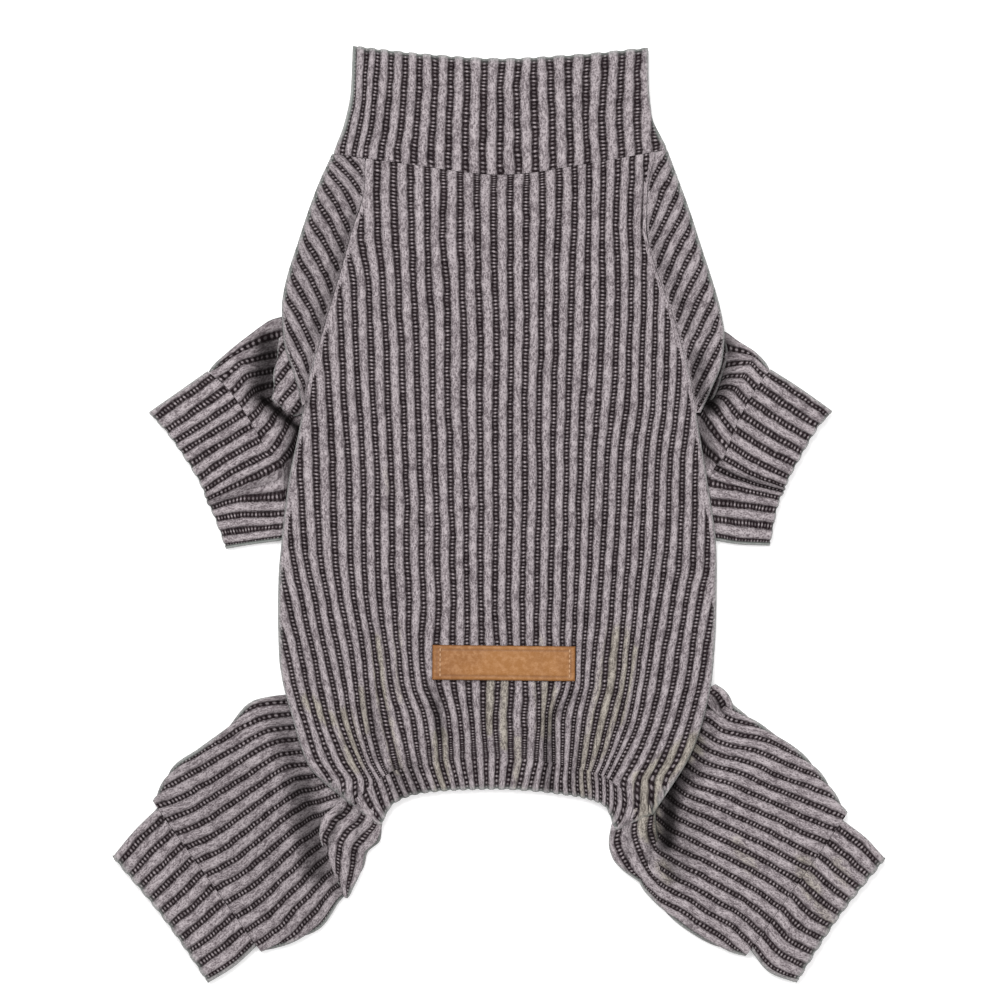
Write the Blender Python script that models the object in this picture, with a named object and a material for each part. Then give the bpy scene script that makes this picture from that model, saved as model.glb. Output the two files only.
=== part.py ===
"""Dog pajamas in wide-rib knit, laid flat with the back up: turtleneck, back and belly panels,
raglan sleeves and hind legs with doubled cuffs, an elastic tail hem and a small leather label.

X runs across the body, Y from tail to neck and Z up from the table. Every piece of cloth is a
closed wall. Its outer side carries the ribs of the knit as grooves, and its inner side is plain.
The tables are in millimetres, with one row for each section of a piece.
"""

import math

import bmesh
import bpy
import numpy as np

MM = 0.001

# Cloth
WALL = 2.2                # knit from rib crest to inner side
DOUBLED_WALL = 2.9        # turned cloth of the collar and the cuffs
RIB_DEPTH = 0.9           # groove below the crests
GROOVE_HALF_WIDTH = 0.27  # of one rib pitch
SEAM_GAP = 0.45           # along Y between two pieces of cloth that are sewn together
RAGLAN_GAP = 0.5          # along X at the raglan seams
HEM_GAP = 0.6             # along Y at the tail hem's slanting seam

# Heights above the table
BODY_HEIGHT = 8.2         # rib crests of the back panel, the raglan caps and the collar
CUFF_HEIGHT = 7.4
LIMB_HEIGHT = 6.8         # sleeves and legs at their cuffs
TUCKED_HEIGHT = 5.1       # sleeves and legs where they pass under the back panel

# Edges: bend radius and the angle that the cloth turns through
ROUND_SIDE = (BODY_HEIGHT / 2, 180.0)  # side of the body, turned down to the table
CAP_NECK_SIDE = (3.1, 180.0)           # the same where a raglan cap is narrow, at the collar
LIFTED_EDGE = (2.45, 85.0)             # edge that lies over a sleeve or a leg
SEAM_EDGE = (2.45, 38.0)               # edge that dips into a raglan seam

SEAM_DIP = 0.6            # how far the cloth sinks at a seam across the ribs
SEAM_REACH = 2.0
FOLD_RADIUS = 1.3         # rounding of a folded edge
LEAST_HOLLOW = 0.4        # between a tube's two layers

# Label
LABEL_CENTRE = (2.0, -62.5)
LABEL_SIZE = (60.0, 14.6)
LABEL_THICKNESS = 1.3
LABEL_TILT = -0.6         # degrees
LABEL_CLEARANCE = 0.3

# Collar seam, left to right: x, y
COLLAR_SEAM = [(-70.2, 151.3), (-38.0, 146.8), (1.0, 142.4), (38.0, 147.2), (70.8, 153.0)]

# Collar sections: y at the left end, y at the middle, y at the right end, x left, x right,
# first rib, last rib
COLLAR_ROWS = [
    (196.7, 191.4, 196.0, -61.6, 62.8, -0.6, 18.8),
    (178.0, 173.5, 178.0, -62.3, 63.3, -0.6, 18.8),
    (163.5, 157.5, 164.0, -65.2, 66.0, -0.6, 19.2),
]
COLLAR_MIDDLE_RIB = 10.0
COLLAR_SEAM_RIBS = (-7.7, -5.15, 0.43, 5.9, 10.7)  # ribs of the back panel along the collar seam

# Raglan seams: y, x left, x right
RAGLAN_SEAM = [
    (151.0, -56.0, 66.0), (136.0, -56.5, 62.3), (120.0, -61.3, 61.8), (99.0, -67.2, 67.3),
    (78.0, -73.5, 74.6), (54.0, -80.2, 80.6), (40.0, -82.6, 82.9), (32.0, -84.5, 84.5),
]

# Back panel sections: y left, y middle, y right, x left, x of rib -5, x of rib 0, x of rib 5,
# x right, first rib, last rib, left edge, right edge
BACK_ROWS = [
    (136.0, 134.5, 136.5, None, -37.0, -2.0, 32.0, None, -7.8, 10.3, SEAM_EDGE, SEAM_EDGE),
    (128.0, 127.0, 128.0, None, -37.0, -2.0, 32.0, None, -8.1, 10.2, SEAM_EDGE, SEAM_EDGE),
    (119.5, 119.5, 119.5, None, -36.5, -2.0, 32.0, None, -8.4, 10.1, SEAM_EDGE, SEAM_EDGE),
    (109.0, 109.0, 109.0, None, -36.2, -1.8, 31.3, None, -9.2, 10.6, SEAM_EDGE, SEAM_EDGE),
    (98.5, 98.5, 98.5, None, -36.0, -1.5, 30.5, None, -9.9, 11.2, SEAM_EDGE, SEAM_EDGE),
    (77.5, 77.5, 77.5, None, -35.0, -1.0, 30.0, None, -11.1, 12.6, SEAM_EDGE, SEAM_EDGE),
    (54.0, 54.0, 54.0, None, -34.0, -1.5, 29.0, None, -12.2, 14.0, SEAM_EDGE, SEAM_EDGE),
    (32.0, 32.0, 32.0, -84.6, -33.5, -1.5, 28.5, 84.5, -13.2, 15.2, LIFTED_EDGE, LIFTED_EDGE),
    (13.5, 13.5, 13.5, -88.4, -33.0, -1.5, 28.0, 87.5, -14.0, 15.8, LIFTED_EDGE, LIFTED_EDGE),
    (-15.5, -15.5, -15.5, -91.7, -32.5, -1.5, 27.5, 91.3, -15.0, 16.7, LIFTED_EDGE, LIFTED_EDGE),
    (-25.0, -25.0, -25.0, -92.6, -32.5, -1.5, 27.5, 91.5, -15.2, 17.0, ROUND_SIDE, ROUND_SIDE),
    (-42.0, -42.0, -42.0, -92.9, -32.0, -2.0, 27.0, 91.3, -15.9, 17.4, ROUND_SIDE, ROUND_SIDE),
    (-60.0, -60.0, -60.0, -92.4, -32.0, -1.5, 26.5, 90.4, -16.6, 17.5, ROUND_SIDE, ROUND_SIDE),
    (-69.5, -69.5, -69.5, -91.0, -32.0, -0.5, 27.5, 89.4, -16.9, 17.6, LIFTED_EDGE, LIFTED_EDGE),
    (-86.5, -85.0, -85.5, -86.5, -26.5, -1.5, 26.5, 86.0, -16.0, 16.3, LIFTED_EDGE, LIFTED_EDGE),
    (-105.5, -96.0, -101.0, -80.0, -24.5, -1.0, 26.5, 80.5, -14.7, 15.0, LIFTED_EDGE, LIFTED_EDGE),
]

# Seam between the back panel and the tail hem, left to right: x, y
HEM_SEAM = [(-62.5, -121.5), (-41.5, -106.5), (-1.0, -102.0), (39.0, -108.0), (64.5, -126.0)]
HEM_SEAM_RIBS = (-12.7, -8.8, 0.0, 7.4, 13.4)

# Free edge of the tail hem, left to right: x, y, rib, height
HEM_EDGE = [
    (-49.8, -131.5, -13.0, 8.0),
    (-44.8, -122.3, -10.8, 7.7),
    (-28.0, -116.8, -6.2, 7.1),
    (-1.0, -115.8, 0.0, 6.8),
    (28.0, -118.2, 5.6, 7.1),
    (44.0, -122.6, 10.0, 7.7),
    (48.8, -133.3, 13.0, 8.0),
]
HEM_POINTS = 11

# Raglan caps over the shoulders: y at the silhouette, y at the raglan seam, x at the silhouette,
# first and last rib, side edge
CAP_LEFT_ROWS = [
    (139.5, 136.0, -75.6, -2.3, 0.4, ROUND_SIDE),
    (127.0, 125.0, -80.3, -4.1, -1.0, ROUND_SIDE),
    (113.0, 113.0, -84.9, -5.9, -2.5, ROUND_SIDE),
    (100.5, 101.0, -88.9, -7.4, -4.0, ROUND_SIDE),
    (94.0, 94.5, -90.4, -8.1, -4.7, ROUND_SIDE),
    (87.3, 87.5, -91.2, -8.8, -5.5, LIFTED_EDGE),
    (72.0, 72.5, -90.3, -10.0, -7.3, LIFTED_EDGE),
    (61.0, 61.5, -86.9, -10.4, -8.6, LIFTED_EDGE),
]
CAP_RIGHT_ROWS = [
    (139.5, 136.0, 75.8, -1.9, 0.1, ROUND_SIDE),
    (127.0, 125.0, 80.3, -3.7, -0.4, ROUND_SIDE),
    (113.0, 113.0, 84.8, -5.6, -1.7, ROUND_SIDE),
    (100.5, 100.5, 88.9, -7.2, -3.3, ROUND_SIDE),
    (89.5, 90.0, 92.2, -8.6, -4.7, ROUND_SIDE),
    (82.5, 83.0, 93.7, -9.4, -5.6, LIFTED_EDGE),
    (75.0, 75.0, 94.7, -10.1, -6.7, LIFTED_EDGE),
    (64.0, 64.5, 93.7, -10.9, -8.0, LIFTED_EDGE),
    (53.0, 53.0, 89.5, -11.2, -9.4, LIFTED_EDGE),
]
CAP_FIRST_RIBS = ((0.2, 2.0), (0.2, 0.8))  # along the collar seam, left cap and right cap

# Sleeves from the cuff seam inwards: upper side x, y, underarm fold x, y, lower side x, y, and
# the height at each of the three
SLEEVE_LEFT_ROWS = [
    (-122.4, 60.9, -95.5, 24.0, -92.2, -11.6, LIMB_HEIGHT, 6.2, TUCKED_HEIGHT),
    (-112.4, 70.4, -93.0, 31.0, -87.0, -9.5, LIMB_HEIGHT, 5.6, TUCKED_HEIGHT),
    (-103.5, 78.0, -89.5, 37.5, -83.5, -7.5, 5.8, TUCKED_HEIGHT, TUCKED_HEIGHT),
    (-93.0, 84.4, -85.0, 42.0, -79.0, -4.0, TUCKED_HEIGHT, TUCKED_HEIGHT, TUCKED_HEIGHT),
    (-80.0, 83.5, -78.0, 43.5, -73.0, -0.5, TUCKED_HEIGHT, TUCKED_HEIGHT, TUCKED_HEIGHT),
]
SLEEVE_RIGHT_ROWS = [
    (115.2, 64.6, 93.6, 26.0, 92.0, -12.0, LIMB_HEIGHT, 6.2, TUCKED_HEIGHT),
    (107.2, 71.0, 91.3, 32.0, 87.5, -9.5, 6.4, 5.6, TUCKED_HEIGHT),
    (101.0, 75.2, 88.5, 36.5, 84.5, -7.5, 5.6, TUCKED_HEIGHT, TUCKED_HEIGHT),
    (94.5, 78.8, 84.5, 40.5, 80.0, -4.0, TUCKED_HEIGHT, TUCKED_HEIGHT, TUCKED_HEIGHT),
    (84.0, 77.5, 77.5, 43.0, 73.0, -0.5, TUCKED_HEIGHT, TUCKED_HEIGHT, TUCKED_HEIGHT),
]
SLEEVE_RIBS = (0.3, 8.0, 12.6)

# Sleeve cuffs from the folded edge inwards, in the same columns
SLEEVE_CUFF_LEFT_ROWS = [
    (-147.9, 43.2, -124.2, 3.4, -115.3, -15.2, CUFF_HEIGHT, CUFF_HEIGHT, CUFF_HEIGHT),
    (-135.5, 52.0, -109.5, 14.5, -102.5, -12.8, CUFF_HEIGHT, CUFF_HEIGHT, CUFF_HEIGHT),
]
SLEEVE_CUFF_RIGHT_ROWS = [
    (141.4, 43.6, 121.0, 9.7, 114.2, -14.2, CUFF_HEIGHT, CUFF_HEIGHT, CUFF_HEIGHT),
    (127.8, 53.1, 107.0, 18.5, 102.5, -13.3, CUFF_HEIGHT, CUFF_HEIGHT, CUFF_HEIGHT),
]
CUFF_SEAM_HEIGHTS = (CUFF_HEIGHT, 7.0, 6.2)
SLEEVE_CUFF_RIBS = (0.2, 8.0, 12.2)

# Hind legs from the cuff seam inwards: outer side x, y, inner side x, y, bow of the middle, first
# rib, last rib, and the height at the outer side, the middle and the inner side
LEG_LEFT_ROWS = [
    (-146.3, -119.0, -97.3, -185.8, 0.0, 0.0, 12.6, LIMB_HEIGHT, LIMB_HEIGHT, LIMB_HEIGHT),
    (-133.8, -104.6, -84.3, -181.8, 0.0, -0.6, 13.0, LIMB_HEIGHT, LIMB_HEIGHT, LIMB_HEIGHT),
    (-119.5, -93.8, -73.3, -172.3, 0.0, -1.0, 13.2, LIMB_HEIGHT, LIMB_HEIGHT, LIMB_HEIGHT),
    (-107.3, -81.4, -66.0, -162.3, 0.0, -1.2, 13.3, 5.8, 6.2, LIMB_HEIGHT),
    (-97.0, -73.6, -61.5, -156.4, 0.0, -1.2, 13.4, TUCKED_HEIGHT, 5.6, LIMB_HEIGHT),
    (-88.0, -72.4, -56.5, -148.3, 0.0, -1.0, 13.6, TUCKED_HEIGHT, TUCKED_HEIGHT, 5.5),
    (-78.5, -76.0, -51.5, -139.0, 0.0, -0.6, 13.9, TUCKED_HEIGHT, TUCKED_HEIGHT, TUCKED_HEIGHT),
    (-70.0, -82.5, -50.0, -133.0, 0.0, -0.4, 14.0, TUCKED_HEIGHT, TUCKED_HEIGHT, TUCKED_HEIGHT),
]
LEG_RIGHT_ROWS = [
    (147.5, -123.7, 98.8, -187.6, 0.0, 0.0, 12.6, LIMB_HEIGHT, LIMB_HEIGHT, LIMB_HEIGHT),
    (132.8, -108.4, 84.6, -179.6, 0.0, -0.6, 13.0, LIMB_HEIGHT, LIMB_HEIGHT, LIMB_HEIGHT),
    (118.3, -95.3, 72.3, -168.4, 0.0, -1.0, 13.2, LIMB_HEIGHT, LIMB_HEIGHT, LIMB_HEIGHT),
    (104.5, -83.8, 62.8, -160.0, 0.0, -1.2, 13.3, 5.8, 6.2, LIMB_HEIGHT),
    (94.5, -73.6, 54.3, -153.0, 0.0, -1.2, 13.4, TUCKED_HEIGHT, 5.6, LIMB_HEIGHT),
    (86.5, -72.4, 48.8, -147.0, 0.0, -1.0, 13.6, TUCKED_HEIGHT, TUCKED_HEIGHT, 5.5),
    (77.0, -76.0, 46.2, -140.5, 0.0, -0.6, 13.9, TUCKED_HEIGHT, TUCKED_HEIGHT, TUCKED_HEIGHT),
    (68.5, -81.5, 47.2, -135.0, 0.0, -0.4, 14.0, TUCKED_HEIGHT, TUCKED_HEIGHT, TUCKED_HEIGHT),
]

# Leg cuffs from the folded edge inwards, in the same columns
LEG_CUFF_LEFT_ROWS = [
    (-162.8, -143.6, -122.2, -197.0, 1.4, 0.0, 10.6, CUFF_HEIGHT, CUFF_HEIGHT, CUFF_HEIGHT),
    (-153.8, -132.6, -111.5, -190.4, 0.8, 0.0, 10.6, CUFF_HEIGHT, CUFF_HEIGHT, CUFF_HEIGHT),
]
LEG_CUFF_RIGHT_ROWS = [
    (162.8, -144.4, 125.0, -197.0, 1.6, 0.0, 10.6, CUFF_HEIGHT, CUFF_HEIGHT, CUFF_HEIGHT),
    (154.2, -135.2, 113.8, -192.8, 0.6, 0.0, 10.6, CUFF_HEIGHT, CUFF_HEIGHT, CUFF_HEIGHT),
]
LEG_CUFF_INSET = (3.4, 3.6)  # how much narrower the cuff is than the leg, at each end of the seam

# Belly panel: y, x left, x right
BELLY_ROWS = [
    (139.5, -69.5, 69.5), (114.0, -78.5, 78.5), (93.0, -83.5, 85.0), (88.0, -77.8, 80.8),
    (45.0, -75.8, 75.3), (-1.0, -71.2, 71.2), (-18.0, -71.2, 71.2), (-27.0, -87.4, 86.3),
    (-61.0, -87.3, 85.2), (-70.0, -84.0, 82.5), (-76.5, -72.0, 70.0), (-98.0, -62.0, 60.3),
    (-113.0, -56.0, 54.3),
]
BELLY_NECK = (-64.5, 64.0)  # x left and right along the collar seam
BELLY_COLUMNS = 5

# Largest folds of each piece: x, y, x, y, height (a trough is negative), half width
BACK_FOLDS = [
    (-26.0, -76.0, -23.0, -100.0, -1.0, 4.0),
    (-33.0, -78.0, -32.0, -100.0, 0.5, 3.5),
    (-44.0, -88.0, -52.0, -112.0, -0.7, 4.0),
    (24.0, -76.0, 21.0, -100.0, -1.0, 4.0),
    (38.0, -78.0, 33.0, -102.0, -0.8, 4.0),
    (58.0, -88.0, 48.0, -112.0, 0.5, 4.0),
    (-6.0, -84.0, -6.0, -102.0, -0.5, 4.0),
]
HEM_FOLDS = [
    (-24.0, -103.0, -24.0, -118.0, -0.8, 3.5),
    (-44.0, -110.0, -38.0, -120.0, -0.7, 3.0),
    (20.0, -103.0, 21.0, -119.0, -0.8, 3.5),
    (35.0, -106.0, 33.0, -121.0, -0.7, 3.0),
    (-6.0, -102.0, -6.0, -116.0, -0.5, 3.5),
]
SLEEVE_LEFT_FOLDS = [
    (-94.0, 24.5, -88.0, 33.0, -0.9, 4.5),
    (-110.0, 52.0, -97.0, 38.0, 0.5, 5.0),
]
SLEEVE_RIGHT_FOLDS = [
    (92.0, 26.0, 87.0, 34.0, -0.9, 4.5),
    (106.0, 54.0, 97.0, 42.0, 0.5, 5.0),
]
SLEEVE_CUFF_LEFT_FOLDS = [(-124.0, 3.0, -96.0, 24.0, -1.3, 3.5)]
SLEEVE_CUFF_RIGHT_FOLDS = [(122.0, 9.0, 94.0, 25.0, -1.3, 3.5)]
LEG_LEFT_FOLDS = [
    (-76.0, -128.0, -65.0, -160.0, -0.9, 4.0),
    (-60.0, -140.0, -62.0, -152.0, 0.4, 5.0),
]
LEG_RIGHT_FOLDS = [
    (66.0, -122.0, 60.0, -150.0, -0.9, 4.0),
    (57.0, -142.0, 62.0, -152.0, 0.4, 5.0),
]

# Mesh steps
CURVE_STEPS = 120         # along a section's middle line
ROW_STEP = 22.0           # longest distance between two sections
CAP_ROW_STEP = 6.5        # the same where the ribs run over the edge aslant
LEAST_ROW_STEP = 2.5      # shortest one, apart from those at a seam or a folded edge
INNER_STEP = 9.0          # between the columns of the plain inner side
HEM_INNER_STEP = 3.5
BOTTOM_COLUMNS = 3        # between the two sides of a tube, on the table
TURN_STEPS = (45.0, 90.0, 135.0, 180.0)

CLOTH_COLOUR = (0.33, 0.30, 0.31, 1.0)
LEATHER_COLOUR = (0.52, 0.29, 0.13, 1.0)


def material(name, colour, roughness):
    made = bpy.data.materials.new(name)
    made.use_nodes = True
    shader = made.node_tree.nodes["Principled BSDF"]
    shader.inputs["Base Color"].default_value = colour
    shader.inputs["Roughness"].default_value = roughness
    return made


def curve_through(values, at, where):
    """Smooth values at the places `where`, through one row of `values` at each place of `at`.

    The slope at a row is the harmonic mean of its two sides, so that nothing overshoots a row.
    """
    values = np.asarray(values, float)
    at = np.asarray(at, float)
    flat = values.reshape(len(at), -1)
    rise = np.diff(flat, axis=0) / np.diff(at)[:, None]
    before, after = rise[:-1], rise[1:]
    same_way = before * after > 0
    mean = 2 * before * after / np.where(same_way, before + after, 1.0)
    slopes = np.vstack([rise[:1], np.where(same_way, mean, 0.0), rise[-1:]])
    where = np.clip(np.atleast_1d(np.asarray(where, float)), at[0], at[-1])
    span = np.clip(np.searchsorted(at, where, side="right") - 1, 0, len(at) - 2)
    width = (at[span + 1] - at[span])[:, None]
    f = (where - at[span])[:, None] / width
    start = flat[span] * (2 * f**3 - 3 * f**2 + 1) + slopes[span] * width * (f**3 - 2 * f**2 + f)
    stop = flat[span + 1] * (3 * f**2 - 2 * f**3) + slopes[span + 1] * width * (f**3 - f**2)
    return (start + stop).reshape((len(where),) + values.shape[1:])


def lengths_along(points):
    steps = np.hypot(*np.diff(np.asarray(points, float), axis=0).T)
    return np.concatenate([[0.0], np.cumsum(steps)])


def section(points, ribs, heights, left, right):
    """One section as numbers: plan points, ribs and heights there, and the two edges."""
    flat = [float(c) for point in points for c in point]
    return np.array(flat + list(ribs) + list(heights) + list(left) + list(right), float)


def section_parts(numbers):
    """The plan points, ribs, heights, left edge and right edge that `section` packed."""
    count = (len(numbers) - 4) // 4
    points = numbers[: 2 * count].reshape(-1, 2)
    ribs, heights = numbers[2 * count : 3 * count], numbers[3 * count : 4 * count]
    return points, ribs, heights, numbers[-4:-2], numbers[-2:]


def fold_height(folds, xy):
    """Height that the folds add at the plan points."""
    total = np.zeros(len(xy))
    for x0, y0, x1, y1, height, half_width in folds:
        start = np.array([x0, y0])
        run = np.array([x1, y1]) - start
        along = np.clip((xy - start) @ run / (run @ run), 0.0, 1.0)
        away = np.hypot(*(xy - start - along[:, None] * run).T)
        total += height * np.exp(-((away / half_width) ** 2))
    return total


class Profile:
    """A section's line from edge to edge: over the top, and round each side as far as it turns."""

    def __init__(self, numbers, folds):
        points, ribs, heights, left, right = section_parts(numbers)
        marks = lengths_along(points)
        dense = curve_through(points, marks, np.linspace(0.0, marks[-1], CURVE_STEPS))
        self.plan = dense
        self.plan_at = lengths_along(dense)
        scale = self.plan_at[-1] / marks[-1]
        self.left, self.right, self.folds = left, right, folds
        self.left_turn, self.right_turn = math.radians(left[1]), math.radians(right[1])
        self.start = left[0] * math.sin(min(self.left_turn, math.pi / 2))
        stop = self.plan_at[-1] - right[0] * math.sin(min(self.right_turn, math.pi / 2))
        self.flat = stop - self.start
        self.first = -self.left_turn * left[0]
        self.last = self.flat + self.right_turn * right[0]
        places = marks * scale - self.start
        places[0] = -min(self.left_turn, math.pi / 2) * left[0]
        places[-1] = self.flat + min(self.right_turn, math.pi / 2) * right[0]
        self.rib_places, self.ribs = places, ribs
        self.height_places, self.heights = marks * scale, heights

    def rib_at(self, along):
        inside = np.interp(along, self.rib_places, self.ribs)
        first_pitch = (self.ribs[1] - self.ribs[0]) / (self.rib_places[1] - self.rib_places[0])
        last_pitch = (self.ribs[-1] - self.ribs[-2]) / (self.rib_places[-1] - self.rib_places[-2])
        before = np.minimum(along - self.rib_places[0], 0.0) * first_pitch
        after = np.maximum(along - self.rib_places[-1], 0.0) * last_pitch
        return inside + before + after

    def place_of(self, rib):
        return np.interp(rib, self.ribs, self.rib_places)

    def turn(self, along):
        """How far the cloth has turned down there, in radians."""
        before = np.maximum(-along, 0.0) / max(self.left[0], 1e-6)
        after = np.maximum(along - self.flat, 0.0) / max(self.right[0], 1e-6)
        return before + after

    def points(self, along, depth):
        """3-D points at `along`, each `depth` below the crests."""
        along = np.asarray(along, float)
        turn = self.turn(along)
        on_left = along < self.flat / 2
        radius = np.where(on_left, self.left[0], self.right[0])
        side = np.where(on_left, -1.0, 1.0)
        middle = self.start + np.clip(along, 0.0, self.flat)
        across = middle + side * (radius - depth) * np.sin(turn)
        base = np.interp(middle, self.height_places, self.heights)
        drop = radius - (radius - depth) * np.cos(turn)
        edges = np.clip(across, 0.0, self.plan_at[-1])
        xy = np.stack([np.interp(edges, self.plan_at, self.plan[:, i]) for i in (0, 1)], axis=1)
        raised = fold_height(self.folds, xy) * np.maximum(np.cos(turn), 0.0)
        return np.column_stack([xy, base - drop + raised])


def groove_depth(rib, scale):
    """Depth of the knit's V grooves, one at each whole rib number."""
    away = np.abs(rib - np.round(rib))
    return scale * RIB_DEPTH * np.clip(1.0 - away / GROOVE_HALF_WIDTH, 0.0, 1.0)


def end_dip(kind, distance):
    """How far the crests sink towards an end: into a seam, or round a folded edge."""
    if kind == "seam":
        return SEAM_DIP * max(0.0, 1.0 - distance / SEAM_REACH) ** 2
    if kind == "fold" and distance < FOLD_RADIUS:
        return FOLD_RADIUS - math.sqrt(FOLD_RADIUS**2 - (FOLD_RADIUS - distance) ** 2)
    return 0.0


def stations(at, ends, longest):
    """Distances of the sections along a piece: its rows, close ones at seams and folded edges, and
    more where two rows are far apart."""
    near = {"seam": [0.0, SEAM_REACH], "fold": [0.0, 0.35, FOLD_RADIUS], "plain": [0.0]}
    marks = near[ends[0]] + [at[-1] - mark for mark in near[ends[1]]]
    marks += [row for row in at if min(abs(row - mark) for mark in marks) > LEAST_ROW_STEP]
    marks.sort()
    found = [marks[0]]
    for start, stop in zip(marks, marks[1:]):
        count = math.ceil((stop - start) / longest)
        found += list(np.linspace(start, stop, count + 1)[1:])
    return found


def strip(lower, lower_at, upper, upper_at):
    """Triangles between two lines of vertex numbers, matched by their places."""
    faces, i, j = [], 0, 0
    while i < len(lower) - 1 or j < len(upper) - 1:
        step_lower = j == len(upper) - 1 or (
            i < len(lower) - 1 and lower_at[i + 1] + lower_at[i] <= upper_at[j + 1] + upper_at[j]
        )
        if step_lower:
            faces.append((lower[i], lower[i + 1], upper[j]))
            i += 1
        else:
            faces.append((lower[i], upper[j + 1], upper[j]))
            j += 1
    return faces


class Shell:
    """Collects the points and faces of one closed wall."""

    def __init__(self):
        self.points, self.faces = [], []

    def add(self, points):
        first = sum(len(p) for p in self.points)
        self.points.append(np.asarray(points, float))
        return list(range(first, first + len(points)))

    def make(self, name, look):
        mesh = bpy.data.meshes.new(name)
        mesh.from_pydata((np.concatenate(self.points) * MM).tolist(), [], self.faces)
        whole = bmesh.new()
        whole.from_mesh(mesh)
        bmesh.ops.recalc_face_normals(whole, faces=whole.faces)
        if whole.calc_volume(signed=True) < 0:
            bmesh.ops.reverse_faces(whole, faces=whole.faces)
        whole.to_mesh(mesh)
        whole.free()
        mesh.shade_smooth()
        mesh.set_sharp_from_angle(angle=math.radians(50))
        mesh.materials.append(look)
        piece = bpy.data.objects.new(name, mesh)
        bpy.context.scene.collection.objects.link(piece)
        return piece


def outer_columns(profile):
    """Places of the outer columns: three a rib over the top, then a few round each side."""
    first_top = max(profile.first, -math.radians(95.0) * profile.left[0])
    last_top = min(profile.last, profile.flat + math.radians(95.0) * profile.right[0])
    low, high = profile.rib_at(np.array([first_top, last_top]))
    steps = (0.0, GROOVE_HALF_WIDTH, 1.0 - GROOVE_HALF_WIDTH)
    ribs = [n + s for n in range(math.floor(low) - 1, math.ceil(high) + 1) for s in steps]
    ribs = np.array([rib for rib in ribs if low + 0.12 < rib < high - 0.12])
    places = list(profile_places(profile, ribs))
    for edge, radius, side in ((0.0, profile.left[0], -1.0), (profile.flat, profile.right[0], 1.0)):
        end = profile.first if side < 0 else profile.last
        for angle in (math.radians(95.0), math.radians(137.0)):
            if abs(end - edge) > (angle + 0.15) * radius:
                places.append(edge + side * angle * radius)
    places += [profile.first, profile.last]
    return np.array(sorted(places))


def profile_places(profile, ribs):
    """Places of the rib numbers, also where they lie beyond the section's own first and last rib."""
    guess = np.linspace(profile.first, profile.last, 400)
    return np.interp(ribs, profile.rib_at(guess), guess)


def inner_columns(profile, count):
    """Places of the inner columns: `count` over the top and three round each side."""
    turned = np.array([0.33, 0.66, 1.0])
    left = profile.first * turned[::-1]
    right = profile.flat + (profile.last - profile.flat) * turned
    return np.concatenate([left, np.linspace(0.0, profile.flat, count), right])


def cloth(
    name, sections, ends, look, tube=False, wall=WALL, folds=(), row_step=ROW_STEP,
    inner_step=INNER_STEP,
):
    """A ribbed wall through the sections. A tube has a flat bottom, and a sheet ends at its edges."""
    middles = [numbers[: (len(numbers) - 4) // 2].reshape(-1, 2).mean(axis=0) for numbers in sections]
    at = lengths_along(middles)
    widest = max(Profile(numbers, folds).flat for numbers in sections)
    inner_count = max(3, round(widest / inner_step))
    shell, outer_rows, inner_rows, bottom_rows = Shell(), [], [], []
    for place in stations(at, ends, row_step):
        profile = Profile(curve_through(sections, at, place)[0], folds)
        dip = end_dip(ends[0], place) + end_dip(ends[1], at[-1] - place)
        along = outer_columns(profile)
        turn = profile.turn(along)
        upright = np.clip((math.radians(130.0) - turn) / math.radians(35.0), 0.0, 1.0)
        depth = groove_depth(profile.rib_at(along), 1.0 - min(1.0, dip)) * upright + dip * upright
        outer_points = profile.points(along, depth)
        at_end = place in (0.0, at[-1])
        inner_along = along if at_end else inner_columns(profile, inner_count)
        inner_points = profile.points(inner_along, np.full(len(inner_along), wall))
        if tube:
            outer_points[:, 2] = np.maximum(outer_points[:, 2], 0.0)
            outer_points[[0, -1], 2] = 0.0
            over = profile.turn(inner_along) < math.pi / 2
            inner_points[:, 2] = np.maximum(inner_points[:, 2], wall + LEAST_HOLLOW * over)
        outer_rows.append((shell.add(outer_points), profile.rib_at(along)))
        inner_rows.append((shell.add(inner_points), inner_along))
        if tube:
            across = profile.flat * np.linspace(1.0, 0.0, BOTTOM_COLUMNS + 2)[1:-1]
            low = profile.points(across, np.zeros(BOTTOM_COLUMNS))[:, :2]
            flat_low = [np.column_stack([low, np.full(BOTTOM_COLUMNS, z)]) for z in (0.0, wall)]
            bottom_rows.append((shell.add(flat_low[0]), shell.add(flat_low[1])))
    for (a, a_at), (b, b_at) in zip(outer_rows, outer_rows[1:]):
        shell.faces += strip(a, a_at, b, b_at)
    for (a, a_at), (b, b_at) in zip(inner_rows, inner_rows[1:]):
        shell.faces += strip(a, a_at / a_at[-1], b, b_at / b_at[-1])
    for end in (0, -1):
        outer, inner = outer_rows[end][0], inner_rows[end][0]
        shell.faces += [(outer[i], outer[i + 1], inner[i + 1], inner[i]) for i in range(len(outer) - 1)]
    if tube:
        close_bottom(shell, outer_rows, inner_rows, bottom_rows)
    else:
        for end in (0, -1):
            for i in range(len(outer_rows) - 1):
                o0, o1 = outer_rows[i][0][end], outer_rows[i + 1][0][end]
                n0, n1 = inner_rows[i][0][end], inner_rows[i + 1][0][end]
                shell.faces.append((o0, o1, n1, n0))
    return shell.make(name, look)


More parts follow.
